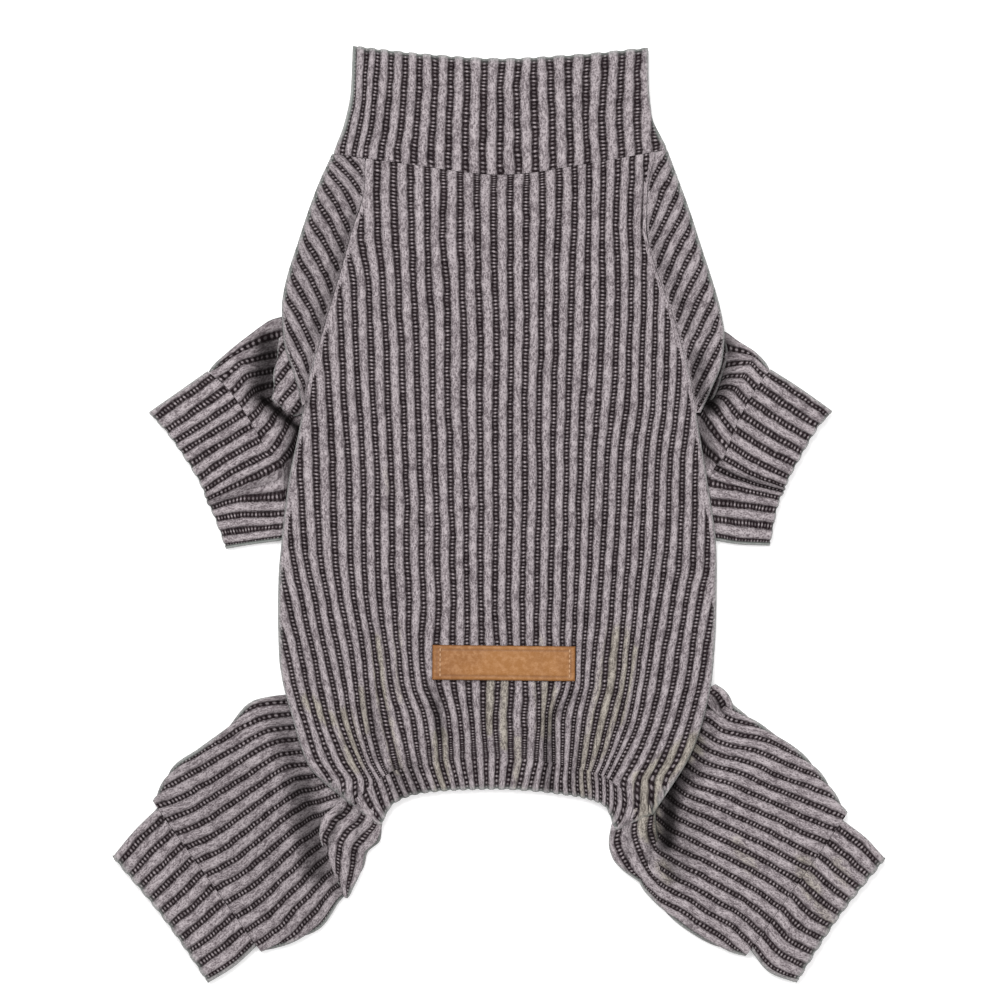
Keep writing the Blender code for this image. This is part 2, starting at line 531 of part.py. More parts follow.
def close_bottom(shell, outer_rows, inner_rows, bottom_rows):
    """The flat bottom of a tube, outside and inside, and its two cut ends."""
    rings = []
    for (outer, _), (inner, _), (low_outer, low_inner) in zip(outer_rows, inner_rows, bottom_rows):
        rings.append(([outer[-1]] + low_outer + [outer[0]], [inner[-1]] + low_inner + [inner[0]]))
    for (outer_a, inner_a), (outer_b, inner_b) in zip(rings, rings[1:]):
        for a, b in ((outer_a, outer_b), (inner_a, inner_b)):
            shell.faces += [(a[i], a[i + 1], b[i + 1], b[i]) for i in range(len(a) - 1)]
    for outer, inner in (rings[0], rings[-1]):
        shell.faces += [(outer[i], outer[i + 1], inner[i + 1], inner[i]) for i in range(len(outer) - 1)]


def flat_sheet(name, rows, look, thickness=WALL, columns=BELLY_COLUMNS):
    """A plain sheet on the table: a line of plan points for each row."""
    shell, lines = Shell(), []
    for row in rows:
        marks = lengths_along(row)
        plan = curve_through(row, marks, np.linspace(0.0, marks[-1], columns))
        low = shell.add(np.column_stack([plan, np.zeros(columns)]))
        high = shell.add(np.column_stack([plan, np.full(columns, thickness)]))
        lines.append(low + high[::-1])
    for a, b in zip(lines, lines[1:]):
        shell.faces += [(a[i - 1], a[i], b[i], b[i - 1]) for i in range(len(a))]
    for line in (lines[0], lines[-1]):
        shell.faces += [
            (line[i], line[i + 1], line[-2 - i], line[-1 - i]) for i in range(columns - 1)
        ]
    return shell.make(name, look)


def on_line(line, at_x, shift):
    """Points at the given x places of a seam line, moved by `shift` along Y."""
    line = np.array(line)
    dense = curve_through(line, lengths_along(line), np.linspace(0.0, lengths_along(line)[-1], 400))
    return [(x, float(np.interp(x, dense[:, 0], dense[:, 1])) + shift) for x in at_x]


def raglan_x(y, side):
    """X of the raglan seam at this Y: column 1 is the left seam, column 2 the right one."""
    seam = np.array(RAGLAN_SEAM)[::-1]
    return float(curve_through(seam[:, side], seam[:, 0], y)[0])


def make_collar(look):
    sections = []
    for y_left, y_middle, y_right, x_left, x_right, first, last in COLLAR_ROWS:
        quarter = (x_right - x_left) / 4
        points = [
            (x_left, y_left),
            (x_left + quarter, 0.35 * y_left + 0.65 * y_middle),
            (x_left + 2 * quarter, y_middle),
            (x_right - quarter, 0.35 * y_right + 0.65 * y_middle),
            (x_right, y_right),
        ]
        middle = COLLAR_MIDDLE_RIB
        ribs = [first, (first + middle) / 2, middle, (last + middle) / 2, last]
        sections.append(section(points, ribs, [BODY_HEIGHT] * 5, ROUND_SIDE, ROUND_SIDE))
    ribs = [-1.5, 4.6, 10.1, 15.2, 20.6]
    sections.append(section(COLLAR_SEAM, ribs, [BODY_HEIGHT] * 5, ROUND_SIDE, ROUND_SIDE))
    return cloth("collar", sections, ("fold", "seam"), look, tube=True, wall=DOUBLED_WALL)


def make_back(look):
    half = RAGLAN_GAP / 2
    middle_x = [point[0] for point in COLLAR_SEAM[1:-1]]
    top_x = [raglan_x(149.5, 1) + half] + middle_x + [raglan_x(151.0, 2) - half]
    heights = [BODY_HEIGHT] * 5
    top = on_line(COLLAR_SEAM, top_x, -SEAM_GAP)
    sections = [section(top, COLLAR_SEAM_RIBS, heights, SEAM_EDGE, SEAM_EDGE)]
    for y_left, y_mid, y_right, x_left, x_a, x_b, x_c, x_right, first, last, left, right in BACK_ROWS:
        left_x = raglan_x(y_left, 1) + half if x_left is None else x_left
        right_x = raglan_x(y_right, 2) - half if x_right is None else x_right
        y_a = 0.25 * y_left + 0.75 * y_mid
        y_c = 0.25 * y_right + 0.75 * y_mid
        points = [(left_x, y_left), (x_a, y_a), (x_b, y_mid), (x_c, y_c), (right_x, y_right)]
        sections.append(section(points, (first, -5.0, 0.0, 5.0, last), heights, left, right))
    bottom = [(x, y + SEAM_GAP / 2) for x, y in HEM_SEAM]
    sections.append(section(bottom, HEM_SEAM_RIBS, heights, LIFTED_EDGE, LIFTED_EDGE))
    return cloth("back_panel", sections, ("seam", "seam"), look, folds=BACK_FOLDS)


def make_tail_hem(look):
    seam = np.column_stack([np.array(HEM_SEAM) - (0.0, HEM_GAP), HEM_SEAM_RIBS])
    sections = []
    for line in (seam, np.array(HEM_EDGE)):
        marks = lengths_along(line[:, :2])
        line = curve_through(line, marks, np.linspace(0.0, marks[-1], HEM_POINTS))
        heights = line[:, 3] if line.shape[1] > 3 else [BODY_HEIGHT] * HEM_POINTS
        sections.append(section(line[:, :2], line[:, 2], heights, LIFTED_EDGE, LIFTED_EDGE))
    return cloth("tail_hem", sections, ("seam", "fold"), look, folds=HEM_FOLDS, inner_step=HEM_INNER_STEP)


def make_cap(name, rows, side, look):
    """A raglan cap: `side` is 1 on the left and 2 on the right."""
    away = -RAGLAN_GAP / 2 if side == 1 else RAGLAN_GAP / 2
    collar_end = COLLAR_SEAM[0] if side == 1 else COLLAR_SEAM[-1]
    seam_end = raglan_x(150.0, side) + away
    outer_x = collar_end[0]
    top = on_line(COLLAR_SEAM, [outer_x, (outer_x + seam_end) / 2, seam_end], -SEAM_GAP)
    heights = [BODY_HEIGHT] * 3
    first, last = CAP_FIRST_RIBS[side - 1]
    sections = [section(top, (first, (first + last) / 2, last), heights, CAP_NECK_SIDE, SEAM_EDGE)]
    for y_side, y_seam, x_side, first, last, edge in rows:
        inner = (raglan_x(y_seam, side) + away, y_seam)
        middle = ((x_side + inner[0]) / 2, (y_side + y_seam) / 2)
        ribs = (first, (first + last) / 2, last)
        sections.append(section([(x_side, y_side), middle, inner], ribs, heights, edge, SEAM_EDGE))
    return cloth(name, sections, ("seam", "plain"), look, row_step=CAP_ROW_STEP)


def limb_section(points, ribs, heights):
    """A section of a tube: each side is turned by half its own height."""
    return section(points, ribs, heights, (heights[0] / 2, 180.0), (heights[-1] / 2, 180.0))


def sleeve_sections(rows):
    """Upper side, underarm fold and lower side."""
    return [limb_section([r[0:2], r[2:4], r[4:6]], SLEEVE_RIBS, r[6:9]) for r in rows]


def leg_sections(rows):
    """Outer side, middle and inner side."""
    sections = []
    for x_out, y_out, x_in, y_in, bow, first, last, *heights in rows:
        run = math.hypot(x_in - x_out, y_in - y_out)
        side = 1.0 if x_in > x_out else -1.0
        middle = (
            (x_out + x_in) / 2 - side * bow * (y_in - y_out) / run,
            (y_out + y_in) / 2 + bow * abs(x_in - x_out) / run,
        )
        ribs = (first, (first + last) / 2, last)
        sections.append(limb_section([(x_out, y_out), middle, (x_in, y_in)], ribs, heights))
    return sections


def cuff_seam(seam, onward, inset):
    """The cuff's side of a limb's first row: moved off it by the seam gap and drawn in."""
    seam, onward = np.array(seam), np.array(onward)
    across = (seam[-1] - seam[0]) / np.hypot(*(seam[-1] - seam[0]))
    away = seam.mean(axis=0) - onward.mean(axis=0)
    away -= (away @ across) * across
    moved = seam + SEAM_GAP * away / np.hypot(*away)
    moved[0] += across * inset[0]
    moved[-1] -= across * inset[1]
    return [tuple(point) for point in moved]


def make_sleeve(side, rows, cuff_rows, folds, cuff_folds, look):
    cloth("sleeve_" + side, sleeve_sections(rows), ("seam", "plain"), look, tube=True, folds=folds)
    lines = [[row[0:2], row[2:4], row[4:6]] for row in rows[:2]]
    seam = cuff_seam(lines[0], lines[1], (0.0, 0.0))
    sections = [limb_section([r[0:2], r[2:4], r[4:6]], SLEEVE_CUFF_RIBS, r[6:9]) for r in cuff_rows]
    sections.append(limb_section(seam, SLEEVE_CUFF_RIBS, CUFF_SEAM_HEIGHTS))
    cloth(
        "sleeve_cuff_" + side, sections, ("fold", "seam"), look, tube=True, wall=DOUBLED_WALL,
        folds=cuff_folds,
    )


def make_leg(side, rows, cuff_rows, folds, look):
    cloth("leg_" + side, leg_sections(rows), ("seam", "plain"), look, tube=True, folds=folds)
    lines = [[row[0:2], row[2:4]] for row in rows[:2]]
    ends = cuff_seam(lines[0], lines[1], LEG_CUFF_INSET)
    seam_row = ends[0] + ends[1] + (0.0,) + cuff_rows[-1][5:]
    sections = leg_sections(cuff_rows + [seam_row])
    cloth("leg_cuff_" + side, sections, ("fold", "seam"), look, tube=True, wall=DOUBLED_WALL)


def make_belly(look):
    across = np.linspace(*BELLY_NECK, BELLY_COLUMNS)
    rows = [on_line(COLLAR_SEAM, across, -SEAM_GAP)]
    for y, x_left, x_right in BELLY_ROWS:
        rows.append([(x, y) for x in np.linspace(x_left, x_right, BELLY_COLUMNS)])
    return flat_sheet("belly_panel", rows, look)


def make_label(look):
    width, depth = LABEL_SIZE
    bpy.ops.mesh.primitive_cube_add(size=1.0)
    label = bpy.context.object
    label.name = "label"
    label.scale = (width * MM, depth * MM, LABEL_THICKNESS * MM)
    bpy.ops.object.transform_apply(location=False, rotation=False, scale=True)
    height = BODY_HEIGHT + LABEL_CLEARANCE + LABEL_THICKNESS / 2
    label.location = (LABEL_CENTRE[0] * MM, LABEL_CENTRE[1] * MM, height * MM)
    label.rotation_euler[2] = math.radians(LABEL_TILT)
    rounded = label.modifiers.new("rounded edges", "BEVEL")
    rounded.width = 0.4 * MM
    rounded.segments = 2
    label.data.materials.append(look)
    return label


def main():
    for obj in list(bpy.data.objects):
        bpy.data.objects.remove(obj, do_unlink=True)
    knit = material("rib_knit", CLOTH_COLOUR, 0.95)
    leather = material("label_leather", LEATHER_COLOUR, 0.6)
    make_collar(knit)
    make_back(knit)
    make_belly(knit)
    make_tail_hem(knit)
    make_cap("sleeve_cap_left", CAP_LEFT_ROWS, 1, knit)
    make_cap("sleeve_cap_right", CAP_RIGHT_ROWS, 2, knit)
    make_sleeve(
        "left", SLEEVE_LEFT_ROWS, SLEEVE_CUFF_LEFT_ROWS, SLEEVE_LEFT_FOLDS, SLEEVE_CUFF_LEFT_FOLDS, knit
    )
    make_sleeve(
        "right", SLEEVE_RIGHT_ROWS, SLEEVE_CUFF_RIGHT_ROWS, SLEEVE_RIGHT_FOLDS, SLEEVE_CUFF_RIGHT_FOLDS,
        knit,
    )
    make_leg("left", LEG_LEFT_ROWS, LEG_CUFF_LEFT_ROWS, LEG_LEFT_FOLDS, knit)
    make_leg("right", LEG_RIGHT_ROWS, LEG_CUFF_RIGHT_ROWS, LEG_RIGHT_FOLDS, knit)
    make_label(leather)


main()
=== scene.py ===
"""Dog pajamas in wide-rib knit, laid flat with the back up: the finished cloth and the bare label.

X runs across the body, Y from tail to neck and Z up from the table. The tables are in
millimetres, with one row for each section of a piece. Every piece of cloth repeats the sections of
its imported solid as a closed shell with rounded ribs, and keeps the rib number and the length along
the rib on its faces, so that the knit's colours and stitches follow the ribs round every fold.
"""

import math

import bmesh
import bpy
import numpy as np
from mathutils import Matrix, Vector


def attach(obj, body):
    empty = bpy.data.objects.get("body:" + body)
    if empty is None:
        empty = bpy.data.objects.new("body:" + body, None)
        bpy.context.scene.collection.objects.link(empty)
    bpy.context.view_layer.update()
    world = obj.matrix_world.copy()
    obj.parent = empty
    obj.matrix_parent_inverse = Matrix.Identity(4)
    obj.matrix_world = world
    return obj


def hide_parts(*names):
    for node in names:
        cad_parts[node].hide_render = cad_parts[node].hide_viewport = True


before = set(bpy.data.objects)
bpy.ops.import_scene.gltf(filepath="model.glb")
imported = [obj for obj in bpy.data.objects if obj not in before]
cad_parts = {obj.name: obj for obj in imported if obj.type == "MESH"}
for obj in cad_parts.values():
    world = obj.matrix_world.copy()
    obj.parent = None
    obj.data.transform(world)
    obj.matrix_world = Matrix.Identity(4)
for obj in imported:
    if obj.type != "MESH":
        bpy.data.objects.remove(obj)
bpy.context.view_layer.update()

MM = 0.001
QUARTER_TURN = math.pi / 2

# Cloth
WALL = 2.2                # knit from rib crest to inner side
DOUBLED_WALL = 2.9        # turned cloth of the collar and the leg cuffs
LIMB_WALL = 1.6           # thinner where sleeves, their cuffs and legs are pressed flat
PATCH_WALL = 1.5          # folded-over cloth that lies on another piece
PATCH_SINK = 0.14         # how much lower a patch is at its tip, as a share of its height
LEAST_HOLLOW = 0.1        # between a tube's two layers
RIB_DEPTH = 0.9           # groove below the crests
UNDER_RIBS = 0.6          # depth of the ribs that lie on the table, as a share of it
GROOVE_HALF_WIDTH = 0.2   # of one rib pitch
PLAIN_BLEND = 0.5         # over which the grooves start beside a smooth band
STITCH = 1.57             # length of one knit stitch along a rib
SEAM_GAP = 0.12           # along Y between two pieces of cloth that are sewn together
RAGLAN_GAP = 0.14         # along X at the raglan seams
HEM_GAP = 0.04            # along Y at the tail hem's slanting seam
HEM_OVERLAP = 0.3         # of the back panel over the tail hem, which closes that seam
SEAM_DIP = 0.5            # how far the cloth sinks at a seam across the ribs
SEAM_REACH = 1.7          # how far from the seam that starts
FOLD_DROP = 0.97          # of a quarter circle, at a folded edge
DIP_TURN = 1.6            # radians of turn up to which the cloth sinks there
DIP_FLATTENS = 0.75       # loss of the ribs' height for each millimetre of a dip
SCALLOP = 0.5             # how far a groove draws in a folded edge
SCALLOP_SPAN = (0.08, 0.36)  # ribs from the groove, where that starts to fade and ends
WOBBLE = 0.05             # sideways waver of a groove, in ribs
WOBBLE_PER_RIB = 0.7      # how fast it changes from rib to rib
WOBBLE_CELL = 13.0        # and along a rib
UNEVEN = 0.16             # rise and fall of the cloth
UNEVEN_CELL = (12.0, 16.0)
RIB_UNEVEN = 0.16         # the same from one rib to the next
UNEVEN_PER_RIB = 0.77
RIB_UNEVEN_CELL = 18.0

# Heights above the table
BODY_HEIGHT = 8.2
CUFF_HEIGHT = 7.4
CAP_HEIGHTS = (8.2, 8.1, 7.4)  # side, middle and raglan seam

# Sections of the collar and the back panel, whose ribs come from their course
NO_RIBS = [0.0] * 5
BODY_HEIGHTS = [BODY_HEIGHT] * 5

# Edges: bend radius and the angle that the cloth turns through
FULLEST_SIDES = 0.84      # largest share of a section that its two edges may take up
ROUND_SIDE = (BODY_HEIGHT / 2, 180.0)
CAP_NECK_SIDE = (3.1, 180.0)
LIFTED_EDGE = (2.45, 85.0)
SEAM_EDGE = (2.45, 38.0)
TURNED_EDGE = (1.8, 80.0)
CROTCH_EDGE = (3.4, 175.0)
BUMP_EDGE = (3.1, 175.0)

# Painted cool rim light of an edge: radians of turn over which it comes in and fades, and how much
# it loses
RIM_IN = (0.6, 1.3)
RIM_OUT = (1.4, 1.8)
RIM_LOSS = 0.8
FOLD_RIM = 0.8            # at a folded edge
FOLD_RIM_IN = (0.3, 0.9)  # share of the fold over which it comes in

# Label
LABEL_CENTRE = (2.0, -62.5)
LABEL_SIZE = (60.0, 14.6)
LABEL_GRID = (121, 37)
LABEL_THICKNESS = 1.3
LABEL_TILT = -0.6         # degrees
LABEL_CLEARANCE = 0.3
THREAD_ROWS = (-26.7, 27.6)          # x of the stitches that hold the label's two ends
THREAD_PLACES = (-5.2, -3.1, -1.0, 1.1, 3.2, 5.3)
THREAD_LENGTH = 1.5
THREAD_WIDTH = 0.6
THREAD_SIDES = 8
THREAD_HEIGHT = 1.2                  # of its middle, half sunk in the leather

# Collar seam, left to right: x, y
COLLAR_SEAM = [(-70.2, 151.3), (-38, 146.8), (1, 142.4), (38, 147.2), (70.8, 153)]

# Collar sections: y left, y middle, y right, x left, x right
COLLAR_ROWS = [
    (196.7, 191.4, 196, -61.6, 62.8),
    (178, 173.5, 178, -62.3, 63.3),
    (163.5, 157.5, 164, -65.2, 66),
]

# Course of the collar's ribs: y, then x of each groove of COLLAR_LINES
COLLAR_LINES = (0, 2, 5, 8, 10, 13, 16, 18)
COLLAR_COURSE = [
    (190.7, -60.3, -51, -33.2, -13.7, 1.3, 21.4, 44.5, 58.2),
    (178.1, -60.5, -52.1, -33.7, -13.4, 0.3, 21.8, 43.8, 58),
    (161.3, -63.5, -54.1, -34.7, -14.2, 0.4, 22.6, 43.3, 57.9),
    (152.9, -65.3, -55.9, -35.6, -14.3, 0.1, 22.6, 44, 58.5),
    (145.3, -66.8, -56.7, -35.9, -14.3, 0.4, 22.7, 44.3, 58.8),
]

# Raglan seams: y, x left, x right
RAGLAN_SEAM = [
    (151, -56, 66), (136, -56.5, 62.3), (120, -61.3, 61.8), (99, -67.2, 67.3),
    (78, -73.5, 74.6), (54, -80.2, 80.6), (40, -82.6, 82.9), (32, -84.5, 84.5),
]
BACK_CORNERS = (149.5, 151.0)  # y at which the corners of the back panel are taken
CAP_CORNER = 150.0             # and those of the caps

# Back panel sections: y left, y middle, y right, x left and right (none where the raglan seams
# give them), edge
BACK_ROWS = [
    (136, 134.5, 136.5, SEAM_EDGE),
    (128, 127, 128, SEAM_EDGE),
    (119.5, 119.5, 119.5, SEAM_EDGE),
    (109, 109, 109, SEAM_EDGE),
    (98.5, 98.5, 98.5, SEAM_EDGE),
    (77.5, 77.5, 77.5, SEAM_EDGE),
    (54, 54, 54, SEAM_EDGE),
    (32, 32, 32, -84.6, 84.5, LIFTED_EDGE),
    (13.5, 13.5, 13.5, -88.4, 87.5, LIFTED_EDGE),
    (-15.5, -15.5, -15.5, -91.7, 91.3, LIFTED_EDGE),
    (-25, -25, -25, -92.6, 91.5, ROUND_SIDE),
    (-42, -42, -42, -92.9, 91.3, ROUND_SIDE),
    (-60, -60, -60, -92.4, 90.4, ROUND_SIDE),
    (-69.5, -69.5, -69.5, -91, 89.4, LIFTED_EDGE),
    (-86.5, -85, -85.5, -86.5, 86, LIFTED_EDGE),
    (-105.5, -96, -101, -80, 80.5, LIFTED_EDGE),
]

# Course of the back panel's ribs: y, then x of each groove of RIB_LINES
RIB_LINES = (-16, -13, -10, -8, -5, -3, 0, 3, 5, 8, 10, 13, 16)
RIB_COURSE = [
    (146.6, -114.7, -93.7, -72.2, -58.2, -37, -23, -2, 18.4, 31.9, 50.1, 61.7, 79, 96.2),
    (119.3, -114.7, -93.7, -72.2, -58.1, -36.7, -23.6, -1.9, 18, 31.8, 49.2, 61.1, 78.5, 95.8),
    (98.3, -107.5, -87.4, -67.6, -55.1, -36.1, -22.3, -1.6, 17.8, 30.4, 50, 61.1, 76.4, 92.8),
    (77.3, -104.6, -85.7, -66.6, -54.1, -34.9, -21.6, -1.1, 17.8, 29.9, 49.7, 60.4, 76, 92),
    (47.9, -102.9, -84.4, -64.8, -53, -34.2, -21.4, -1.3, 16.7, 29.1, 48, 59.5, 74.8, 90.7),
    (22.7, -102.1, -83.5, -63.2, -51.4, -33.2, -20.6, -1.4, 17.1, 28.3, 45.6, 56.4, 71.7, 88.2),
    (-2.5, -99.5, -82.6, -62.5, -51, -32.4, -19.8, -1.5, 16.7, 28.1, 44.2, 55.2, 70.8, 87.7),
    (-19.3, -97, -80.8, -62.2, -50.9, -32.5, -19.6, -1.8, 16.2, 27.6, 43.2, 54.2, 69.7, 87.2),
    (-36.1, -94.1, -77.2, -60.7, -50.1, -31.7, -18.8, -1.8, 15.7, 27.1, 42, 52.9, 67.2, 84.5),
    (-52.9, -89.9, -73.8, -57.7, -47.8, -32.7, -19.6, -1.1, 15.5, 26.6, 40.6, 51.4, 64.4, 81.6),
    (-69.7, -86.5, -70.2, -55.6, -45.4, -31.5, -19, -0.3, 16.4, 27.4, 38.8, 49.9, 61.6, 79.1),
    (-86.5, -81.9, -66.4, -53.8, -41.6, -25.6, -16.4, -1.7, 17.1, 22.7, 35.7, 45.8, 58.4, 74.8),
    (-103.3, -76, -60.1, -50, -37.8, -24.4, -15.1, -0.6, 16, 23.1, 33.6, 41.6, 51, 68.6),
    (-111.7, -70.6, -55.4, -45.4, -35.7, -21.8, -13.9, -1.1, 16, 23.1, 32.8, 38.2, 46.6, 63.8),
]

# Seam between the back panel and the tail hem, left to right: x, y
HEM_SEAM = [(-62.5, -121.5), (-41.5, -106.5), (-1, -102), (39, -108), (64.5, -126)]

# Free edge of the tail hem, left to right: x, y, rib, height
HEM_EDGE = [
    (-49.8, -131.5, -13.6, 8),
    (-44.8, -122.3, -11.2, 7.7),
    (-28, -116.8, -6.9, 7.1),
    (-1, -115.8, 0, 6.8),
    (28, -118.2, 6.5, 7.1),
    (44, -122.6, 11.6, 7.7),
    (48.8, -133.3, 14.6, 8),
]
HEM_POINTS = 11
BODY_SEED = 23            # the same for both, so that the cloth runs on over the hem seam

# Raglan caps over the shoulders: y at the silhouette, y at the raglan seam, x at the silhouette,
# first and last rib, side edge
CAP_LEFT_ROWS = [
    (139.5, 136, -75.6, -2.3, 0.4, ROUND_SIDE),
    (127, 125, -80.3, -4.1, -1, ROUND_SIDE),
    (113, 113, -84.9, -5.9, -2.5, ROUND_SIDE),
    (100.5, 101, -88.9, -7.4, -4, ROUND_SIDE),
    (94, 94.5, -90.4, -8.1, -4.7, ROUND_SIDE),
    (87.3, 87.5, -91.2, -8.8, -5.5, LIFTED_EDGE),
    (72, 72.5, -90.3, -10, -7.3, LIFTED_EDGE),
    (61, 61.5, -86.9, -10.4, -8.6, LIFTED_EDGE),
    (53, 53.5, -84.4, -10.8, -9.6, LIFTED_EDGE),
    (45.5, 46, -82.6, -11, -10.6, LIFTED_EDGE),
]
CAP_RIGHT_ROWS = [
    (139.5, 136, 75.8, -1.9, 0.1, ROUND_SIDE),
    (127, 125, 80.3, -3.7, -0.4, ROUND_SIDE),
    (113, 113, 84.8, -5.6, -1.7, ROUND_SIDE),
    (100.5, 100.5, 88.9, -7.2, -3.3, ROUND_SIDE),
    (89.5, 90, 92.2, -8.6, -4.7, ROUND_SIDE),
    (82.5, 83, 93.7, -9.4, -5.6, LIFTED_EDGE),
    (75, 75, 94.7, -10.1, -6.7, LIFTED_EDGE),
    (64, 64.5, 93.7, -10.9, -8, LIFTED_EDGE),
    (53, 53, 89.5, -11.2, -9.4, LIFTED_EDGE),
    (46.5, 46.5, 86.6, -11.5, -10.3, LIFTED_EDGE),
    (42.5, 42.5, 84.6, -11.6, -10.9, LIFTED_EDGE),
]
CAP_FIRST_RIBS = ((0.2, 2), (0.2, 0.8))  # along the collar seam, left cap and right cap
CAP_RIB_SLOPE = 67.0      # degrees from the X axis

# Sleeves from beside the cuff seam inwards, in seven points from the upper side to the lower one:
# x and y of each. Point 5 is the crease of the underarm.
SLEEVE_LEFT_ROWS = [
    (-114.7, 68, -108.8, 63, -102.1, 47.9, -91.1, 32.3, -86.5, 26, -86.5, 7.6, -88.2, -10.1),
    (-105, 76, -100.8, 65.1, -99.1, 50.4, -88.6, 37.8, -84, 31.1, -83.6, 10.1, -83.6, -6.7),
    (-95.3, 82.7, -93.7, 66.8, -93.2, 52.1, -86.5, 41.2, -81.5, 34.4, -80.2, 12.2, -80.2, -4.6),
    (-83.6, 85.3, -83.6, 68, -82.7, 54.2, -81.5, 43.7, -77.3, 37.4, -75.2, 16.4, -75.2, -0.4),
]
SLEEVE_RIGHT_ROWS = [
    (108.4, 68, 105.4, 63.4, 97.9, 49.1, 87.8, 37.8, 85.7, 26.9, 86.1, 14.3, 89, -9.2),
    (101.2, 73.1, 98.3, 63, 93.7, 51.2, 85.3, 42, 82.7, 31.1, 83.2, 15.1, 86.1, -6.7),
    (94.5, 77.7, 92.8, 62.2, 88.6, 49.6, 82.7, 43.7, 79.4, 34.4, 80.2, 17.6, 82.7, -4.6),
    (84.4, 79.4, 83.6, 63.8, 81.1, 52.1, 77.7, 45.8, 74.3, 37.4, 76, 20.6, 78.1, -0.4),
]
SLEEVE_RIBS = (0, 2, 4.5, 7, 8.1, 9, 12.4)
SLEEVE_LEFT_SEAM_RIBS = (0.9, 2.6, 5, 7, 8.1, 9, 12.4)
SLEEVE_RIGHT_SEAM_RIBS = (1, 2.8, 5.2, 7.6, 8.4, 9, 12.4)
SLEEVE_HEIGHTS = [
    (6.8, 7.2, 7.4, 7, 4.6, 5.4, 5.8),
    (6.2, 6.8, 7.4, 7.2, 4.4, 5.1, 5.6),
    (5.8, 5.4, 4.4, 6.4, 4.4, 5.1, 5.1),
    (5.4, 4.4, 3.1, 4.8, 4.4, 5.1, 5.1),
    (5.1, 4.4, 3.6, 4.4, 4.6, 5.1, 5.1),
]

# Sleeve cuffs from the folded edge to the seam, in the same seven points
SLEEVE_CUFF_LEFT_ROWS = [
    (-147.4, 42.8, -140.3, 34.9, -131.9, 23.1, -124.3, 9.7, -123.1, 5.5, -121.4, 2.5, -114.7, -14.7),
    (-134, 52.1, -126.8, 44.1, -117.6, 31.9, -109.6, 18.9, -106.3, 13, -106.3, 6.3, -104.2, -13),
    (-122.6, 60.1, -114.2, 52.9, -105, 39.9, -96.2, 25.6, -90.3, 21, -90.3, 7.6, -92, -11.3),
]
SLEEVE_CUFF_RIGHT_ROWS = [
    (140.3, 43.3, 134.4, 36.5, 126.4, 23.1, 120.5, 11.3, 119.9, 9.2, 118.4, 6.7, 113.8, -13.4),
    (126.8, 52.9, 120.1, 45.8, 113, 30.7, 105.8, 17.2, 105, 13, 104.2, 9.7, 102.1, -13),
    (114.2, 60.9, 108.8, 53.8, 100.4, 39.1, 94.1, 23.5, 90.3, 18.9, 88.6, 13, 91.1, -11.3),
]
SLEEVE_CUFF_RIBS = (0.3, 2, 4.5, 7, 8.1, 9, 12.4)
SLEEVE_CUFF_HEIGHTS = [
    (7.2, 7.4, 7.4, 7.2, 6, 6.2, 6.6),
    (7.2, 7.4, 7.4, 7.2, 5.2, 5.9, 6.4),
    (7.2, 7.4, 7.4, 7, 4.9, 5.6, 6),
]

# Hind legs from the cuff seam inwards: outer side x, y, inner side x, y, first and last rib, and
# the height at the outer side, the middle and the inner side
LEG_LEFT_ROWS = [
    (-145.7, -120.1, -99.5, -184.4, 2.3, 13.9, 6.8, 6.8, 6.8),
    (-136.9, -105.8, -86.9, -180.2, 0.7, 14.6, 6.8, 6.8, 6.8),
    (-126, -98.3, -74.8, -173.9, 0.5, 15.4, 6.8, 6.8, 6.8),
    (-114.7, -89.5, -67.6, -163.8, 0.1, 15.3, 6.4, 6.8, 6.8),
    (-102.9, -78.1, -63.8, -157.9, -0.7, 15.1, 5.8, 5.6, 6.2),
    (-91.6, -75.6, -66.4, -151.2, -0.9, 14, 4.6, 3.8, 5),
    (-79.4, -73.9, -60.9, -141.1, -1.5, 13, 4.4, 4.2, 5),
    (-70.1, -79.8, -51.7, -133.6, -1, 12, 5.1, 5.1, 5.1),
]
LEG_RIGHT_ROWS = [
    (146.6, -125.2, 103.3, -186.1, 3.4, 15.1, 6.8, 6.8, 6.8),
    (134.4, -107.5, 89, -181, 1.3, 16.2, 6.8, 6.8, 6.8),
    (123.9, -97.4, 75.6, -172.6, 0.2, 16.3, 6.8, 6.8, 6.8),
    (113.4, -90.3, 65.5, -163.4, -0.2, 15.7, 6.6, 6.8, 6.8),
    (99.1, -80.6, 59.2, -155.4, -1.5, 15.4, 6.2, 6, 6.4),
    (91.1, -73.9, 57.5, -149.5, -1.8, 14.8, 4.8, 3.9, 5),
    (82.7, -74.8, 55, -141.1, -1.2, 14, 4.4, 4.2, 5),
    (75.2, -80.2, 49.1, -133.6, -1, 13, 5.1, 5.1, 5.1),
]

# Leg cuffs from the folded edge inwards: outer side x, y, inner side x, y, bow of the middle
LEG_CUFF_LEFT_ROWS = [
    (-162.8, -143.6, -122.2, -197, 1.4), (-153.8, -132.6, -111.5, -190.4, 0.8),
]
LEG_CUFF_RIGHT_ROWS = [
    (162.8, -144.4, 125, -197, 1.6), (154.2, -135.2, 113.8, -192.8, 0.6),
]
LEG_CUFF_RIBS = (0, 10.6)
LEG_CUFF_INSET = (3.4, 3.6)     # how far each side is drawn in at the seam

